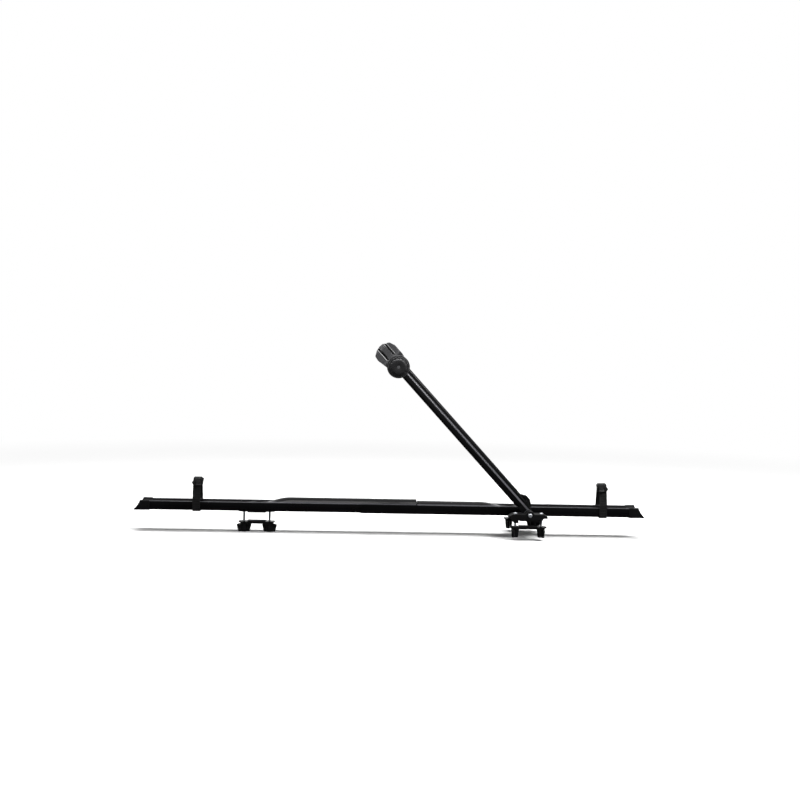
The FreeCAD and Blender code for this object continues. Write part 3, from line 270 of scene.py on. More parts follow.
# Jaw liners: angles in degrees round the held tube, and spans across the jaw
NEAR_LINER = (20.0, 135.0)
NEAR_FINGERS = ((-30.0, -13.0), (-4.0, 9.5), (18.0, 30.0))
FAR_LINER = (216.0, 300.0)
FAR_FINGERS = (-10.6, 15.6)
LINER_LEAST = 2.0
LINER_EDGE = 0.5
LINER_BEVEL = 0.6
LINER_BEVEL_STEPS = 2
RIB_DEGREES = 7.0
RIB_PHASE = 1.3
RIB_DEPTH = 0.9
RIB_POWER = 0.6

# Wheel straps
STRAP_HALF = 10.0
STRAP_THICK = 2.5
STRAP_EDGE = 0.5
STRAP_CLEAR = 0.4
STRAP_TOP = 92.0
STRAP_TOP_HALF = 17.0
STRAP_LEAN = 36.0
STRAP_ROUNDS = (CORNER, 25.0, 13.0, 13.0, 25.0, CORNER)
TOOTH_PITCH = 4.4
TOOTH_POINTS = 8
TOOTH_HALF = 7.0
TOOTH_SHOULDER = ((7.7, STRAP_THICK), (7.3, 2.3))
TOOTH_FLOOR = 1.45
TOOTH_RISE = 1.0
TOOTH_POWER = 0.7
BUCKLE_HEIGHT = 82.0
BUCKLE_SHIFT = 5.5
LEVER_HALF = 7.2
LEVER_FACE = -8.7
GRIP_R = 0.75
GRIP_SINK = 0.25
GRIP_INSET = 1.2
GRIP_SQUARENESS = 8
GRIP_LEAST = 0.04
GRIP_ROWS = (-6.4, -4.2, -2.0, 0.2)

# Straps: place, rail's half width and seat, and which way the buckle is shifted
STRAPS = {
    "rear": (-875.0, REAR_HALF, REAR_SEAT, 1),
    "front": (205.0, FRONT_HALF, RAIL_SEAT, -1),
}

# Pieces whose solids are right and only need soft edges: voxel size and smoothing rounds
MOULDED = {
    "front_saddle": (0.8, 3),
    "clamp_head": (0.7, 3),
    "far_jaw": (0.6, 3),
    "arm_foot": (0.6, 2),
    "rear_end_cap": (0.5, 2),
    "front_end_cap": (0.5, 2),
    "near_clamp_plate": (0.6, 2),
    "far_clamp_plate": (0.6, 2),
    "rear_clamp_plate": (0.6, 2),
    "rear_saddle": (0.6, 2),
    "front_seat_pads": (0.6, 2),
    "rear_seat_pad": (0.6, 2),
    "near_clamp_pad": (0.6, 2),
    "far_clamp_pad": (0.6, 2),
    "rear_clamp_pad": (0.6, 2),
}
BUCKLE_SOFTNESS = (0.38, 2)
LEVER_SOFTNESS = (0.35, 2)
FLAT_ANGLE = 0.8
SAME_POINT = 0.002


# Shader helpers

class Shader:
    """A material's node tree with short calls for the nodes used here."""

    def __init__(self, name):
        self.material = bpy.data.materials.new(name)
        self.material.use_nodes = True
        self.tree = self.material.node_tree
        self.bsdf = self.tree.nodes["Principled BSDF"]
        self.position = self.node("ShaderNodeTexCoord").outputs["Object"]

    def node(self, kind, **values):
        made = self.tree.nodes.new(kind)
        for key, value in values.items():
            setattr(made, key, value)
        return made

    def link(self, source, target):
        self.tree.links.new(source, target)

    def set(self, **values):
        for key, value in values.items():
            self.bsdf.inputs[key.replace("_", " ")].default_value = value

    def noise(self, scale, detail=3.0, rough=0.55, stretch=None):
        made = self.node("ShaderNodeTexNoise")
        made.inputs["Scale"].default_value = scale
        made.inputs["Detail"].default_value = detail
        made.inputs["Roughness"].default_value = rough
        if stretch:
            mapping = self.node("ShaderNodeMapping")
            mapping.inputs["Scale"].default_value = stretch
            self.link(self.position, mapping.inputs["Vector"])
            self.link(mapping.outputs["Vector"], made.inputs["Vector"])
        else:
            self.link(self.position, made.inputs["Vector"])
        return made.outputs["Fac"]

    def cells(self, scale):
        made = self.node("ShaderNodeTexVoronoi")
        made.inputs["Scale"].default_value = scale
        self.link(self.position, made.inputs["Vector"])
        return made.outputs["Distance"]

    def ramp(self, source, low, high, start=0.0, end=1.0):
        made = self.node("ShaderNodeMapRange")
        made.inputs["From Min"].default_value = low
        made.inputs["From Max"].default_value = high
        made.inputs["To Min"].default_value = start
        made.inputs["To Max"].default_value = end
        self.link(source, made.inputs["Value"])
        return made.outputs["Result"]

    def mix(self, factor, low, high):
        """Blends two colours; the node's colour sockets are its inputs 6 and 7."""
        made = self.node("ShaderNodeMix", data_type="RGBA")
        self.link(factor, made.inputs["Factor"])
        for socket, value in ((made.inputs[6], low), (made.inputs[7], high)):
            if isinstance(value, tuple):
                socket.default_value = (*value, 1.0)
            else:
                self.link(value, socket)
        return made.outputs[2]

    def math(self, operation, first, second):
        made = self.node("ShaderNodeMath", operation=operation)
        for socket, value in zip(made.inputs, (first, second)):
            if isinstance(value, (int, float)):
                socket.default_value = value
            else:
                self.link(value, socket)
        return made.outputs[0]

    def bump(self, height, strength, distance, after=None):
        made = self.node("ShaderNodeBump")
        made.inputs["Strength"].default_value = strength
        made.inputs["Distance"].default_value = distance
        self.link(height, made.inputs["Height"])
        if after:
            self.link(after, made.inputs["Normal"])
        return made.outputs["Normal"]

    def color(self, source):
        self.link(source, self.bsdf.inputs["Base Color"])

    def rough(self, source):
        self.link(source, self.bsdf.inputs["Roughness"])

    def normal(self, source):
        self.link(source, self.bsdf.inputs["Normal"])

    def band(self, direction, low, high, soft):
        """One between two distances along a direction, in millimetres, with soft edges."""
        made = self.node("ShaderNodeVectorMath", operation="DOT_PRODUCT")
        made.inputs[1].default_value = direction
        self.link(self.position, made.inputs[0])
        rise = self.ramp(made.outputs["Value"], (low - soft) * MM, low * MM)
        fall = self.ramp(made.outputs["Value"], high * MM, (high + soft) * MM, 1.0, 0.0)
        return self.math("MULTIPLY", rise, fall)


def gloss_paint(name, dark, pale, shine, painted_highlight=None):
    """Black powder coat: faint orange peel, softer patches, and a paler line painted on as a
    highlight.
    """
    s = Shader(name)
    patches = s.noise(9.0, detail=4.0)
    specks = s.noise(420.0, detail=2.0)
    coat = s.mix(s.ramp(patches, 0.35, 0.7), dark, pale)
    # Painted highlight: a band of paler base colour where lamp light would catch a lip or
    # crease
    if painted_highlight:
        direction, low, high, soft, highlight_colour = painted_highlight
        coat = s.mix(s.band(direction, low, high, soft), coat, highlight_colour)
    s.color(coat)
    haze = s.math("ADD", patches, s.math("MULTIPLY", specks, 0.25))
    s.rough(s.ramp(haze, 0.4, 0.9, 0.18, 0.3))
    peel = s.noise(650.0, detail=2.0)
    s.normal(s.bump(peel, 0.06, 0.0004, after=s.bump(patches, 0.05, 0.002)))
    s.set(Specular_IOR_Level=shine)
    return s.material


def grained_plastic(name, dark, pale, grain, depth, rough, shine):
    """Moulded plastic with a spark-eroded grain."""
    s = Shader(name)
    patches = s.noise(22.0, detail=4.0)
    pits = s.cells(grain)
    s.color(s.mix(s.ramp(patches, 0.3, 0.75), dark, pale))
    s.rough(s.ramp(patches, 0.3, 0.7, *rough))
    ripples = s.noise(grain * 0.6)
    s.normal(s.bump(pits, depth, 0.0003, after=s.bump(ripples, depth, 0.0002)))
    s.set(Specular_IOR_Level=shine)
    return s.material


def rubber(name, dark, pale):
    """Matt rubber with a fine dusty grain."""
    s = Shader(name)
    patches = s.noise(30.0, detail=5.0)
    s.color(s.mix(s.ramp(patches, 0.3, 0.75), dark, pale))
    s.rough(s.ramp(patches, 0.3, 0.7, 0.6, 0.82))
    s.normal(s.bump(s.noise(1400.0), 0.3, 0.0002))
    s.set(Specular_IOR_Level=0.12)
    return s.material


def plated_metal(name, pale, dull):
    """Plated metal with clouding and fine drawing marks."""
    s = Shader(name)
    clouds = s.noise(70.0, detail=5.0)
    marks = s.noise(60.0, detail=2.0, rough=0.5, stretch=(18.0, 18.0, 1.0))
    s.color(s.mix(s.ramp(clouds, 0.3, 0.75), pale, dull))
    tarnish = s.math("ADD", clouds, s.math("MULTIPLY", marks, 0.4))
    s.rough(s.ramp(tarnish, 0.5, 1.0, 0.36, 0.52))
    s.normal(s.bump(marks, 0.08, 0.0003))
    s.set(Metallic=1.0)
    return s.material


# Painted highlights: direction, low and high edge along it, softness, colour
ARM_ACROSS = (math.sin(ARM_ANGLE), 0, math.cos(ARM_ANGLE))
ARM_LEVEL = PIVOT[0] * ARM_ACROSS[0] + PIVOT[1] * ARM_ACROSS[2] + ARM_LIFT
# The rail's line is a highlight painted along the tops of its lip beads
RAIL_PAINTED_HIGHLIGHT = ((0, 0, 1), LIP - 0.8, LIP + 0.6, 1.2, (0.042, 0.042, 0.047))
# The arm's line is a highlight painted along the crease of its near face
ARM_PAINTED_HIGHLIGHT = (ARM_ACROSS, ARM_LEVEL + 0.8, ARM_LEVEL + 3.8, 2.0, (0.11, 0.11, 0.12))

# Two colours and the shine of each paint, and its painted highlight line if it has one
PAINTS = {
    "rail_paint": ((0.0012, 0.0012, 0.0015), (0.0025, 0.0025, 0.003), 0.06, RAIL_PAINTED_HIGHLIGHT),
    "arm_paint": ((0.0015, 0.0015, 0.0018), (0.003, 0.003, 0.0034), 0.1, ARM_PAINTED_HIGHLIGHT),
    "plate_paint": ((0.003, 0.003, 0.0034), (0.006, 0.006, 0.0066), 0.1),
}

# Two colours, then the grain's scale and depth, the roughness and the shine
PLASTICS = {
    "saddle_moulding": (
        (0.002, 0.002, 0.0023), (0.0045, 0.0045, 0.005), 900.0, 0.2, (0.42, 0.6), 0.09,
    ),
    "cap_plastic": (
        (0.002, 0.002, 0.0023), (0.004, 0.004, 0.0044), 900.0, 0.25, (0.42, 0.6), 0.07,
    ),
    "knob_plastic": (
        (0.004, 0.004, 0.0045), (0.007, 0.007, 0.0076), 1100.0, 0.15, (0.3, 0.45), 0.12,
    ),
    "clamp_plastic": (
        (0.018, 0.018, 0.02), (0.032, 0.032, 0.034), 900.0, 0.08, (0.3, 0.42), 0.3,
    ),
    "clamp_knob_plastic": (
        (0.012, 0.012, 0.013), (0.018, 0.018, 0.019), 1000.0, 0.08, (0.42, 0.55), 0.16,
    ),
    "buckle_plastic": (
        (0.003, 0.003, 0.0034), (0.006, 0.006, 0.0064), 1100.0, 0.15, (0.32, 0.48), 0.12,
    ),
    "bush_plastic": (
        (0.6, 0.59, 0.55), (0.7, 0.69, 0.65), 900.0, 0.25, (0.42, 0.6), 0.12,
    ),
}
RUBBERS = {
    "pad_rubber": ((0.008, 0.008, 0.008), (0.014, 0.014, 0.0135)),
    "liner_rubber": ((0.006, 0.006, 0.0065), (0.012, 0.012, 0.012)),
    "strap_rubber": ((0.005, 0.005, 0.0052), (0.009, 0.009, 0.009)),
}
METALS = {
    "zinc_steel": ((0.34, 0.35, 0.37), (0.2, 0.21, 0.22)),
    "insert_brass": ((0.62, 0.47, 0.2), (0.5, 0.37, 0.16)),
    "lock_metal": ((0.12, 0.12, 0.125), (0.07, 0.07, 0.075)),
}
FINISHES = (
    (gloss_paint, PAINTS),
    (grained_plastic, PLASTICS),
    (rubber, RUBBERS),
    (plated_metal, METALS),
)
MATERIALS = {name: make(name, *row) for make, rows in FINISHES for name, row in rows.items()}


def paint(piece, slot):
    piece.data.materials.clear()
    piece.data.materials.append(MATERIALS[slot])


for node, solid in NODES.items():
    paint(solid, SLOT_OF[node])


# Mesh helpers

def clean(mesh):
    """Joins points that coincide and turns every face outward."""
    work = bmesh.new()
    work.from_mesh(mesh)
    bmesh.ops.remove_doubles(work, verts=work.verts, dist=SAME_POINT * MM)
    bmesh.ops.recalc_face_normals(work, faces=work.faces)
    work.to_mesh(mesh)
    work.free()


def give(piece, slot, body, replaced, smooth):
    """Smooths and paints a piece, sets its body, and hides the CAD nodes it stands for."""
    clean(piece.data)
    piece.data.shade_smooth()
    piece.data.set_sharp_from_angle(angle=math.radians(smooth))
    paint(piece, slot)
    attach(piece, body)
    if replaced:
        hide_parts(*replaced)
    return piece


def raw_piece(name, form):
    """A new object from vertices and faces, not yet painted or given to a body."""
    verts, faces = form
    mesh = bpy.data.meshes.new(name)
    mesh.from_pydata([tuple(v) for v in verts], [], faces)
    clean(mesh)
    piece = bpy.data.objects.new(name, mesh)
    bpy.context.scene.collection.objects.link(piece)
    return piece


def mesh_piece(name, form, slot, body, replaced, smooth):
    return give(raw_piece(name, form), slot, body, replaced, smooth)


def apply_modifiers(piece):
    view = bpy.context.evaluated_depsgraph_get()
    mesh = bpy.data.meshes.new_from_object(piece.evaluated_get(view))
    piece.modifiers.clear()
    piece.data = mesh


def moulded(node, voxel, rounds):
    """A CAD node's form with every edge rounded, as a moulding's edges are."""
    piece = bpy.data.objects.new(node + "_form", NODES[node].data.copy())
    bpy.context.scene.collection.objects.link(piece)
    remesh = piece.modifiers.new("remesh", "REMESH")
    remesh.mode = "VOXEL"
    remesh.voxel_size = voxel * MM
    relax = piece.modifiers.new("relax", "SMOOTH")
    relax.factor = 0.5
    relax.iterations = rounds
    flatten = piece.modifiers.new("flatten", "DECIMATE")
    flatten.decimate_type = "DISSOLVE"
    flatten.angle_limit = math.radians(FLAT_ANGLE)
    apply_modifiers(piece)
    return give(piece, SLOT_OF[node], NODES[node]["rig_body"], (node,), CAST_EDGE)


def skin(rings, capped=(True, True)):
    """Vertices and faces of a tube through closed rings of equal counts."""
    count = len(rings[0])
    verts = [point for ring in rings for point in ring]
    faces = []
    for i in range(len(rings) - 1):
        low = i * count
        for j in range(count):
            k = (j + 1) % count
            faces.append((low + j, low + k, low + count + k, low + count + j))
    if capped[0]:
        faces.append(tuple(range(count))[::-1])
    if capped[1]:
        faces.append(tuple(range((len(rings) - 1) * count, len(rings) * count)))
    return verts, faces


def joined(parts):
    """One vertex and face list from several."""
    verts, faces = [], []
    for part_verts, part_faces in parts:
        shift = len(verts)
        verts += list(part_verts)
        faces += [tuple(i + shift for i in face) for face in part_faces]
    return verts, faces


def corner_arc(centre, radius, start, end, steps):
    """Points on an arc between two angles in degrees."""
    points = []
    for i in range(steps + 1):
        angle = math.radians(start + (end - start) * i / steps)
        out = (radius * math.cos(angle), radius * math.sin(angle))
        points.append((centre[0] + out[0], centre[1] + out[1]))
    return points


def rounded_path(corners, radii, steps):
    """A closed outline of flat points with its corners rounded."""
    outline = []
    for i, corner in enumerate(corners):
        here = Vector(corner)
        back = (Vector(corners[i - 1]) - here).normalized()
        ahead = (Vector(corners[(i + 1) % len(corners)]) - here).normalized()
        half_turn = back.angle(ahead) / 2
        inward = (back + ahead).normalized()
        centre = here + inward * (radii[i] / math.sin(half_turn))
        setback = radii[i] / math.tan(half_turn)
        start = here + back * setback - centre
        sweep = -start.angle_signed(here + ahead * setback - centre)
        for k in range(steps + 1):
            angle = sweep * k / steps
            turned = Vector((
                start.x * math.cos(angle) - start.y * math.sin(angle),
                start.x * math.sin(angle) + start.y * math.cos(angle),
            ))
            outline.append(centre + turned)
    return outline


def turned_rings(profile, place, count, shape=None):
    """Rings round an axis from (radius, height) pairs; shape may change a radius by angle."""
    rings = []
    for radius, height in profile:
        ring = []
        for j in range(count):
            angle = 2 * math.pi * j / count
            r = shape(radius, height, angle) if shape else radius
            ring.append(place(r * math.cos(angle), r * math.sin(angle), height))
        rings.append(ring)
    return rings


# Wheel rail

def rail_section(half, bottom, crown, x):
    """The rail's outer section: rounded floor corners, beaded lips and the trough or crown."""
    shoulder = LIP - BEAD
    inner = half - 2 * BEAD
    right = corner_arc((half - CORNER, bottom + CORNER), CORNER, -90, 0, CORNER_STEPS)
    right += corner_arc((half - BEAD, shoulder), BEAD, 0, 180, BEAD_STEPS)
    rise = crown - shoulder
    if abs(rise) < LEAST_RISE:
        rise = LEAST_RISE
    radius = (inner ** 2 + rise ** 2) / (2 * abs(rise))
    signed = math.copysign(radius, rise)
    sweep = math.asin(min(inner / radius, 1.0))
    if radius < abs(rise):
        sweep = math.pi - sweep
    for i in range(1, ARCH_STEPS):
        angle = sweep * (1 - i / ARCH_STEPS)
        right.append((radius * math.sin(angle), crown - signed + signed * math.cos(angle)))
    points = right + [(0.0, crown)] + [(-a, b) for a, b in reversed(right)]
    return [Vector((x, a, b)) * MM for a, b in points]


def rail_form(half, bottom, ends, nose, crown):
    """A rail half's shell from the trough's end to the crown's end."""
    trough = bottom + TROUGH_FLOOR
    rings = [rail_section(half, bottom, trough, ends[0])]
    for i in range(NOSE_RINGS + 1):
        share = i / NOSE_RINGS
        rise = (1 - math.cos(math.pi * share)) / 2
        x = nose[0] + (nose[1] - nose[0]) * share
        rings.append(rail_section(half, bottom, trough + (crown - trough) * rise, x))
    rings.append(rail_section(half, bottom, crown, ends[1]))
    return skin(rings)


def socket_form():
    """The open-topped socket at the front rail's inner end."""
    outer = FRONT_HALF
    inner = FRONT_HALF - SKIN
    low = RAIL_SEAT + CORNER
    loop = [(outer, LIP)]
    loop += corner_arc((outer - CORNER, low), CORNER, 0, -90, CORNER_STEPS)
    loop += corner_arc((-outer + CORNER, low), CORNER, -90, -180, CORNER_STEPS)
    loop += [(-outer, LIP), (-inner, LIP)]
    loop += corner_arc((-inner + CORNER, low + SKIN), CORNER, 180, 270, CORNER_STEPS)
    loop += corner_arc((inner - CORNER, low + SKIN), CORNER, 270, 360, CORNER_STEPS)
    loop += [(inner, LIP)]
    return skin([[Vector((x, a, b)) * MM for a, b in loop] for x in SOCKET])


def make_rails():
    rear = rail_form(REAR_HALF, REAR_SEAT, REAR_ENDS, REAR_NOSE, REAR_CROWN)
    mesh_piece("rear_rail_form", rear, "rail_paint", "rail", ("rear_rail",), LONG_EDGE)
    front = raw_piece(
        "front_rail_form", rail_form(FRONT_HALF, RAIL_SEAT, FRONT_ENDS, FRONT_NOSE, FRONT_CROWN)
    )
    socket = raw_piece("socket", socket_form())
    union = front.modifiers.new("union", "BOOLEAN")
    union.operation = "UNION"
    union.solver = "EXACT"
    union.object = socket
    apply_modifiers(front)
    bpy.data.objects.remove(socket)
    give(front, "rail_paint", "rail", ("front_rail",), LONG_EDGE)


# Arm: pieces are laid out by reach from the pivot, y and height across the arm

def on_arm(reach, y, across):
    x = PIVOT[0] - reach * math.cos(ARM_ANGLE) + across * math.sin(ARM_ANGLE)
    z = PIVOT[1] + reach * math.sin(ARM_ANGLE) + across * math.cos(ARM_ANGLE)
    return Vector((x, y, z)) * MM


def arm_ring(reach, inset):
    """The arm tube's rounded section with the crease along its near face."""
    wide = ARM_DEPTH / 2 - inset
    high = ARM_FACE / 2 - inset
    corners = [
        (-wide, -high), (wide, -high), (wide, high), (-wide + CREASE_STEP, high),
        (-wide + CREASE_STEP, CREASE_HIGH), (-wide, CREASE_LOW),
    ]
    radii = [ARM_CORNER - inset] * 4 + [CREASE_ROUND] * 2
    path = rounded_path(corners, radii, ROUND_STEPS)
    return [on_arm(reach, ARM_MID + p.x, ARM_LIFT + p.y) for p in path]


def make_arm_tube():
    low, high = ARM_ENDS
    rings = [arm_ring(low + along, inset) for along, inset in ARM_MOUTH]
    rings.append(arm_ring(high, 0.0))
    mesh_piece("arm_tube_form", skin(rings), "arm_paint", "arm", ("arm_tube",), LONG_EDGE)


# Fixings

def across_axis(axis):
    """Two directions square to an axis and to each other."""
    side = axis.orthogonal().normalized()
    return side, axis.cross(side)


def thread(start, axis, length, radius, pitch, depth):
    """A threaded rod along a unit axis: one helical skin of crest and root rows, capped."""
    start = Vector(start)
    axis = Vector(axis)
    side, other = across_axis(axis)
    rows = 2 * math.ceil(length / pitch) + 5
    verts = []
    for i in range(rows):
        r = radius - (depth if i % 2 else 0.0)
        for j in range(ROD_POINTS):
            angle = 2 * math.pi * j / ROD_POINTS
            along = min(max((i / 2 - 1 + j / ROD_POINTS) * pitch, 0.0), length)
            size = min(r, radius - depth + min(along, length - along))
            out = side * math.cos(angle) + other * math.sin(angle)
            verts.append((start + axis * along + out * size) * MM)
    faces = []
    for i in range(rows - 3):
        for j in range(ROD_POINTS):
            a = i * ROD_POINTS + j
            b = a + 1 if j < ROD_POINTS - 1 else (i + 2) * ROD_POINTS
            faces.append((a, b, b + ROD_POINTS, a + ROD_POINTS))
    for end, first in ((0.0, 0), (length, (rows - 2) * ROD_POINTS)):
        middle = len(verts)
        verts.append((start + axis * end) * MM)
        for j in range(ROD_POINTS):
            faces.append((middle, first + j, first + (j + 1) % ROD_POINTS))
    return verts, faces


def domed_head(centre, axis, radius, height):
    axis = Vector(axis)
    side, other = across_axis(axis)
    profile = [(0.0, 0.0), (radius, 0.0), (radius, HEAD_RIM)]
    for i in range(1, ROUND_STEPS + 1):
        angle = math.pi / 2 * i / ROUND_STEPS
        rise = HEAD_RIM + (height - HEAD_RIM) * math.sin(angle)
        profile.append((radius * math.cos(angle), rise))

    def place(a, b, h):
        return (Vector(centre) + side * a + other * b + axis * h) * MM

    return skin(turned_rings(profile, place, HEAD_POINTS), (False, False))


def make_clamp_bolts():
    up = (0, 0, 1)
    pairs = (-BOLT_X, BOLT_X)
    for name, places, (end, seat) in (
        ("front_clamp_bolts", [(x, y) for y in (-BOLT_Y, BOLT_Y) for x in pairs], FRONT_BOLT),
        ("rear_clamp_bolts", [(REAR_BAR + x, 0) for x in pairs], REAR_BOLT),
    ):
        parts = []
        for x, y in places:
            parts.append(thread((x, y, end), up, seat - end, BOLT_R, BOLT_PITCH, BOLT_THREAD))
            parts.append(domed_head((x, y, seat), up, BOLT_HEAD_R, BOLT_HEAD))
        mesh_piece(name + "_form", joined(parts), "zinc_steel", "rail", (name,), METAL_EDGE)


def make_pivot_bolt():
    """The pivot's button head with its six-sided key recess, and its shank."""
    profile = [
        (PIVOT_R, PIVOT_BACK - PIVOT_SEAT), (PIVOT_R, 0.0), (PIVOT_HEAD_R, 0.0), *PIVOT_DOME,
        (KEY_R, KEY_DEPTH - PIVOT_HEAD), (0.0, KEY_DEPTH + KEY_CONE - PIVOT_HEAD),
    ]

    def hexed(radius, _, angle):
        if radius > KEY_R + KEY_RIM:
            return radius
        sixth = math.pi / 3
        off = (angle + KEY_TURN) % sixth - sixth / 2
        return radius * math.cos(sixth / 2) / math.cos(off)

    def place(a, b, h):
        return Vector((PIVOT[0] + a, PIVOT_SEAT + h, PIVOT[1] + b)) * MM

    form = skin(turned_rings(profile, place, PIVOT_POINTS, hexed), (True, False))
    mesh_piece("pivot_bolt_form", form, "zinc_steel", "rail", ("pivot_bolt",), METAL_EDGE)


# Wing knobs

def wing_radius(angle, core, length, half):
    """A knob's radius at one angle: a round core blended into two flat wings."""
    if length <= core:
        return core
    c, s = abs(math.cos(angle)), abs(math.sin(angle))
    power = WING_SQUARENESS
    wing = ((c / length) ** power + (s / half) ** power) ** (-1 / power)
    return (core ** WING_BLEND + wing ** WING_BLEND) ** (1 / WING_BLEND)


def wing_knob(name, x, y, top, turn):
    """A wing knob: its bore, its foot and wings, its knurled collar and the insert's pocket."""
    foot = top - KNOB_HEIGHT
    rings = []
    for height, core, length, half in WING_LEVELS:
        ring = []
        for j in range(WING_POINTS):
            angle = 2 * math.pi * j / WING_POINTS
            r = wing_radius(angle, core, length, half)
            if core == COLLAR_R:
                r -= KNURL_DEPTH * (1 - abs(math.sin(angle * KNURLS)))
            angle += math.radians(turn)
            spot = (x + r * math.cos(angle), y + r * math.sin(angle), foot + height)
            ring.append(Vector(spot) * MM)
        rings.append(ring)
    form = skin(rings + rings[:1], (False, False))
    mesh_piece(name + "_form", form, "knob_plastic", name, (name,), MOULDED_EDGE)


def make_wing_knobs():
    for name, (x, y, top, turns) in WING_PAIRS.items():
        wing_knob(name + "_left_knob", x - BOLT_X, y, top, turns[0])
        wing_knob(name + "_right_knob", x + BOLT_X, y, top, turns[1])


# Frame clamp

def fluted(radius, height, angle):
    """The clamp knob's radius with its finger flutes."""
    if radius < FLUTE_INNER:
        return radius
    centre = CLAMP_KNOB_R + FLUTE_R - FLUTE_DEPTH
    step = 2 * math.pi / FLUTES
    off = (angle / step % 1.0 - 0.5) * step
    inside = FLUTE_R ** 2 - (centre * math.sin(off)) ** 2
    if inside <= 0:
        return radius
    depth = max(CLAMP_KNOB_R - (centre * math.cos(off) - math.sqrt(inside)), 0.0)
    return radius - depth * min(max((height - FLUTE_START) / FLUTE_FADE, 0.0), 1.0)


def make_clamp_knob():
    shoulder = corner_arc(KNOB_SHOULDER, KNOB_SHOULDER_R, 10, 90, ROUND_STEPS)
    profile = KNOB_SKIRT + shoulder + KNOB_FACE + LOCK_POCKET

    def place(a, b, h):
        return on_arm(CLAMP_REACH + a, CLAMP_KNOB_BACK - h, b)

    form = skin(turned_rings(profile, place, KNOB_POINTS, fluted))
    node = body = "clamp_knob"
    mesh_piece("clamp_knob_form", form, "clamp_knob_plastic", body, (node,), MOULDED_EDGE)
    low, high = CLAMP_BOLT_ENDS
    rod = thread(
        on_arm(CLAMP_REACH, low, 0) / MM, (0, 1, 0), high - low,
        CLAMP_BOLT_R, CLAMP_BOLT_PITCH, CLAMP_BOLT_THREAD,
    )
    mesh_piece("clamp_bolt_form", rod, "zinc_steel", body, ("clamp_bolt",), METAL_EDGE)


def jaw_half(side, up):
    """How far one side of the near jaw reaches from the middle at a distance above the knob."""
    for (low, first), (high, second) in zip(side, side[1:]):
        if up <= high:
            return first + (second - first) * (up - low) / (high - low) - JAW_INSET
    return 0.0


def liner(angles, span, near):
    """A ribbed rubber pad on a jaw's inner face; the near jaw's pads stop at its outline."""
    start, end = angles
    steps = int((end - start) * STEPS_A_DEGREE)
    rings = []
    for i in range(steps + 1):
        share = i / steps
        degrees = (end - start) * share
        angle = math.radians(start + degrees)
        low, high = span
        if near:
            up = TUBE_REACH - CLAMP_REACH + JAW_IN * math.cos(angle)
            low, high = max(low, -jaw_half(JAW_LEFT, up)), min(high, jaw_half(JAW_RIGHT, up))
            if high - low < LINER_LEAST:
                continue
        wave = math.sin(2 * math.pi * degrees / RIB_DEGREES - RIB_PHASE)
        inner = TUBE_R + RIB_DEPTH * max(wave, 0.0) ** RIB_POWER
        from_end = min(share, 1 - share) * steps
        inner += LINER_BEVEL * max(1 - from_end / LINER_BEVEL_STEPS, 0.0)
        edge = inner + LINER_EDGE
        section = [(inner, low + LINER_EDGE), (inner, high - LINER_EDGE), (edge, high)]
        section += [(JAW_IN, high), (JAW_IN, low), (edge, low)]
        c, s = math.cos(angle), math.sin(angle)
        rings.append([on_arm(TUBE_REACH + r * c, -r * s, v) for r, v in section])
    return skin(rings)


def make_liners():
    near = joined(liner(NEAR_LINER, span, True) for span in NEAR_FINGERS)
    far = liner(FAR_LINER, FAR_FINGERS, False)
    slot = "liner_rubber"
    mesh_piece("near_liners_form", near, slot, "arm", ("near_jaw_liners",), MOULDED_EDGE)
    mesh_piece("far_liner_form", far, slot, "far_jaw", ("far_jaw_liner",), MOULDED_EDGE)


# Wheel straps

def strap_outline(half, bottom):
    """Even points round a strap's inner face, with the outward direction at each."""
    low = bottom - STRAP_CLEAR
    top = STRAP_TOP - STRAP_THICK
    right = [(half + STRAP_CLEAR, low), (half + STRAP_CLEAR, STRAP_LEAN), (STRAP_TOP_HALF, top)]
    corners = right + [(-a, b) for a, b in reversed(right)]
    path = rounded_path(corners, STRAP_ROUNDS, STRAP_STEPS)
    lengths = [0.0]
    for i in range(len(path)):
        lengths.append(lengths[-1] + (path[(i + 1) % len(path)] - path[i]).length)
    count = int(lengths[-1] / TOOTH_PITCH) * TOOTH_POINTS
    points = []
    k = 0
    for n in range(count):
        want = lengths[-1] * n / count
        while lengths[k + 1] < want:
            k += 1
        share = (want - lengths[k]) / max(lengths[k + 1] - lengths[k], 1e-9)
        points.append(path[k].lerp(path[(k + 1) % len(path)], share))
    middle = Vector((0, (low + top) / 2))
    outline = []
    for n, point in enumerate(points):
        tangent = (points[(n + 1) % count] - points[n - 1]).normalized()
        out = Vector((tangent.y, -tangent.x))
        if out.dot(point - middle) < 0:
            out = -out
        outline.append((point, out))
    return outline


def strap_form(x, half, bottom):
    """A toothed strap: plain edges beside a row of teeth all the way round."""
    wide = STRAP_HALF
    flat = STRAP_HALF - STRAP_EDGE
    plain = [
        (flat, 0.0), (wide, STRAP_EDGE), (wide, STRAP_THICK - STRAP_EDGE), (flat, STRAP_THICK),
        *TOOTH_SHOULDER,
    ]
    rings = []
    for n, (point, out) in enumerate(strap_outline(half, bottom)):
        wave = (0.5 - 0.5 * math.cos(2 * math.pi * n / TOOTH_POINTS)) ** TOOTH_POWER
        tooth = TOOTH_FLOOR + TOOTH_RISE * wave
        right = plain + [(TOOTH_HALF, tooth)]
        section = [(-flat, 0.0)] + right + [(-a, b) for a, b in reversed(right[1:])]
        ring = []
        for across, lift in section:
            spot = point + out * lift
            ring.append(Vector((x + across, spot.x, spot.y)) * MM)
        rings.append(ring)
    return skin(rings + rings[:1], (False, False))


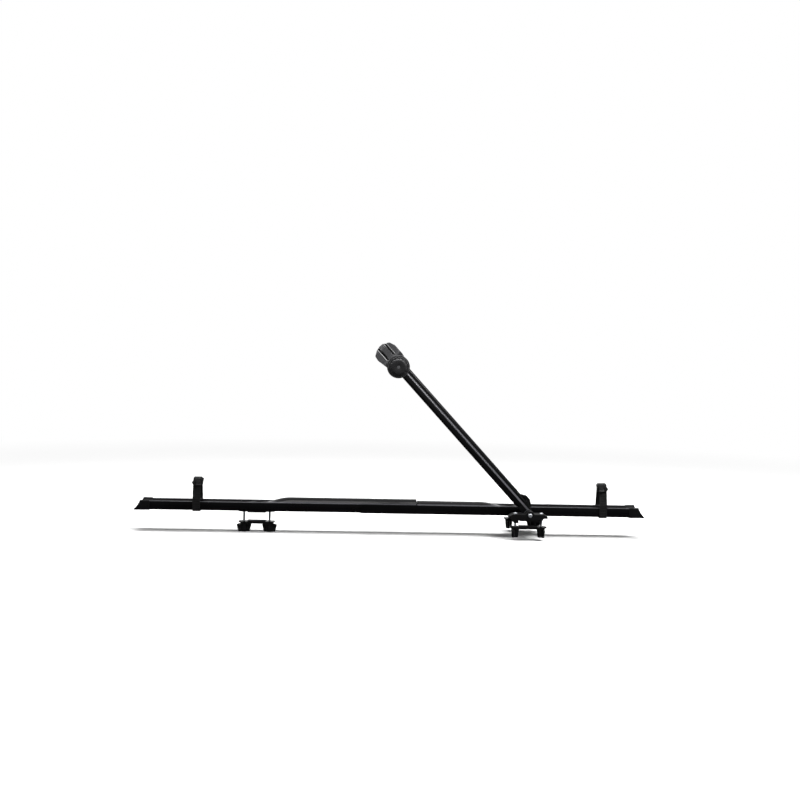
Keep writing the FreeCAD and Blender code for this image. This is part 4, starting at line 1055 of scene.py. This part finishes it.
def on_buckle(x, half, along, out, up):
    """A point on a buckle: along the rail, outward from the strap (negative) and up it."""
    side = half + STRAP_CLEAR + STRAP_THICK
    lean_in = side - STRAP_TOP_HALF - STRAP_THICK
    rise = STRAP_TOP - STRAP_LEAN
    lean = math.atan(lean_in / rise)
    y = lean_in * (BUCKLE_HEIGHT - STRAP_LEAN) / rise - side
    y += out * math.cos(lean) + up * math.sin(lean)
    z = BUCKLE_HEIGHT - out * math.sin(lean) + up * math.cos(lean)
    return Vector((x + along, y, z)) * MM


def grip_rib(x, half, up):
    """A half-round rib across a lever."""
    reach = LEVER_HALF - GRIP_INSET
    rings = []
    for i in range(GRIP_STEPS + 1):
        share = 2 * i / GRIP_STEPS - 1
        size = GRIP_R * math.sqrt(max(1 - share ** GRIP_SQUARENESS, GRIP_LEAST))
        ring = []
        for j in range(GRIP_POINTS):
            angle = 2 * math.pi * j / GRIP_POINTS
            out = LEVER_FACE + GRIP_SINK + size * math.cos(angle)
            ring.append(on_buckle(x, half, reach * share, out, up + size * math.sin(angle)))
        rings.append(ring)
    return skin(rings)


def make_straps():
    for name, (x, half, bottom, inward) in STRAPS.items():
        body = name + "_strap"
        form = strap_form(x, half, bottom)
        mesh_piece(body + "_form", form, "strap_rubber", body, (body,), MOULDED_EDGE)
        moulded(name + "_buckle", *BUCKLE_SOFTNESS)
        moulded(name + "_lever", *LEVER_SOFTNESS)
        ribs = joined(grip_rib(x + inward * BUCKLE_SHIFT, half, up) for up in GRIP_ROWS)
        mesh_piece(name + "_lever_ribs", ribs, "buckle_plastic", name + "_lever", (), LONG_EDGE)


make_rails()
make_arm_tube()
for node, softness in MOULDED.items():
    moulded(node, *softness)
make_clamp_bolts()
make_pivot_bolt()
make_wing_knobs()
make_clamp_knob()
make_liners()
make_straps()


# Stage, camera and lights

def floor_material():
    """White to the camera with the carrier's shadow on it, and dark to light that bounces."""
    s = Shader("floor")
    away = s.node("ShaderNodeVectorMath", operation="LENGTH")
    s.link(s.position, away.inputs[0])
    fade = s.ramp(away.outputs["Value"], *FLOOR_FADE)
    fade.node.interpolation_type = "SMOOTHSTEP"
    path = s.node("ShaderNodeLightPath").outputs
    white = s.mix(s.ramp(s.noise(3.0), 0.3, 0.7), *FLOOR_WHITES)
    s.color(s.mix(path["Is Camera Ray"], FLOOR_BOUNCE, white))
    s.set(Roughness=0.75, Specular_IOR_Level=0.2)
    light = s.node("ShaderNodeEmission")
    light.inputs["Strength"].default_value = 1.0
    seen = s.math("MAXIMUM", path["Is Camera Ray"], path["Is Glossy Ray"])
    seen = s.math("MAXIMUM", seen, path["Is Transmission Ray"])
    blend = s.node("ShaderNodeMixShader")
    s.link(s.math("MULTIPLY", seen, fade), blend.inputs["Fac"])
    s.link(s.bsdf.outputs[0], blend.inputs[1])
    s.link(light.outputs[0], blend.inputs[2])
    s.link(blend.outputs[0], s.tree.nodes["Material Output"].inputs["Surface"])
    return s.material


def make_floor():
    low = CAD_BOX[0][2] - FLOOR_GAP
    bpy.ops.mesh.primitive_plane_add(size=FLOOR_SIZE, location=(MIDDLE, 0, low))
    floor = bpy.context.object
    floor.name = "floor"
    floor.data.materials.append(floor_material())


def make_world():
    """White where it is seen, mirrored or looked through to, and a soft fill otherwise."""
    world = bpy.data.worlds.new("studio")
    world.use_nodes = True
    tree = world.node_tree
    background = tree.nodes["Background"]
    background.inputs["Color"].default_value = (1, 1, 1, 1)
    path = tree.nodes.new("ShaderNodeLightPath")
    strength = tree.nodes.new("ShaderNodeMix")
    strength.inputs[2].default_value = WORLD_FILL
    strength.inputs[3].default_value = 1.0
    seen = path.outputs["Is Camera Ray"]
    for ray in ("Is Glossy Ray", "Is Transmission Ray"):
        either = tree.nodes.new("ShaderNodeMath")
        either.operation = "MAXIMUM"
        tree.links.new(seen, either.inputs[0])
        tree.links.new(path.outputs[ray], either.inputs[1])
        seen = either.outputs[0]
    tree.links.new(seen, strength.inputs[0])
    tree.links.new(strength.outputs[0], background.inputs["Strength"])
    bpy.context.scene.world = world


def make_camera():
    forward = Vector((
        math.sin(YAW_RIGHT) * math.cos(PITCH_DOWN),
        math.cos(YAW_RIGHT) * math.cos(PITCH_DOWN),
        -math.sin(PITCH_DOWN),
    ))
    level = Vector((math.cos(YAW_RIGHT), -math.sin(YAW_RIGHT), 0))
    upright = level.cross(forward)
    right = level * math.cos(ROLL) + upright * math.sin(ROLL)
    up = -level * math.sin(ROLL) + upright * math.cos(ROLL)
    data = bpy.data.cameras.new("camera")
    data.lens = LENS
    data.sensor_width = SENSOR
    camera = bpy.data.objects.new("camera", data)
    turn = Matrix((right, up, -forward)).transposed()
    camera.matrix_world = Matrix.Translation(CAMERA_AT) @ turn.to_4x4()
    bpy.context.scene.collection.objects.link(camera)
    bpy.context.scene.camera = camera


def make_light(name, at, aim, size, power):
    data = bpy.data.lights.new(name, "AREA")
    data.shape = "RECTANGLE"
    data.size, data.size_y = size
    data.energy = power
    light = bpy.data.objects.new(name, data)
    light.location = at
    light.rotation_euler = (Vector(aim) - Vector(at)).to_track_quat("-Z", "Y").to_euler()
    bpy.context.scene.collection.objects.link(light)


make_floor()
make_world()
make_camera()
for name, row in LIGHTS.items():
    make_light(name, *row)

bpy.context.scene.view_settings.view_transform = "Standard"
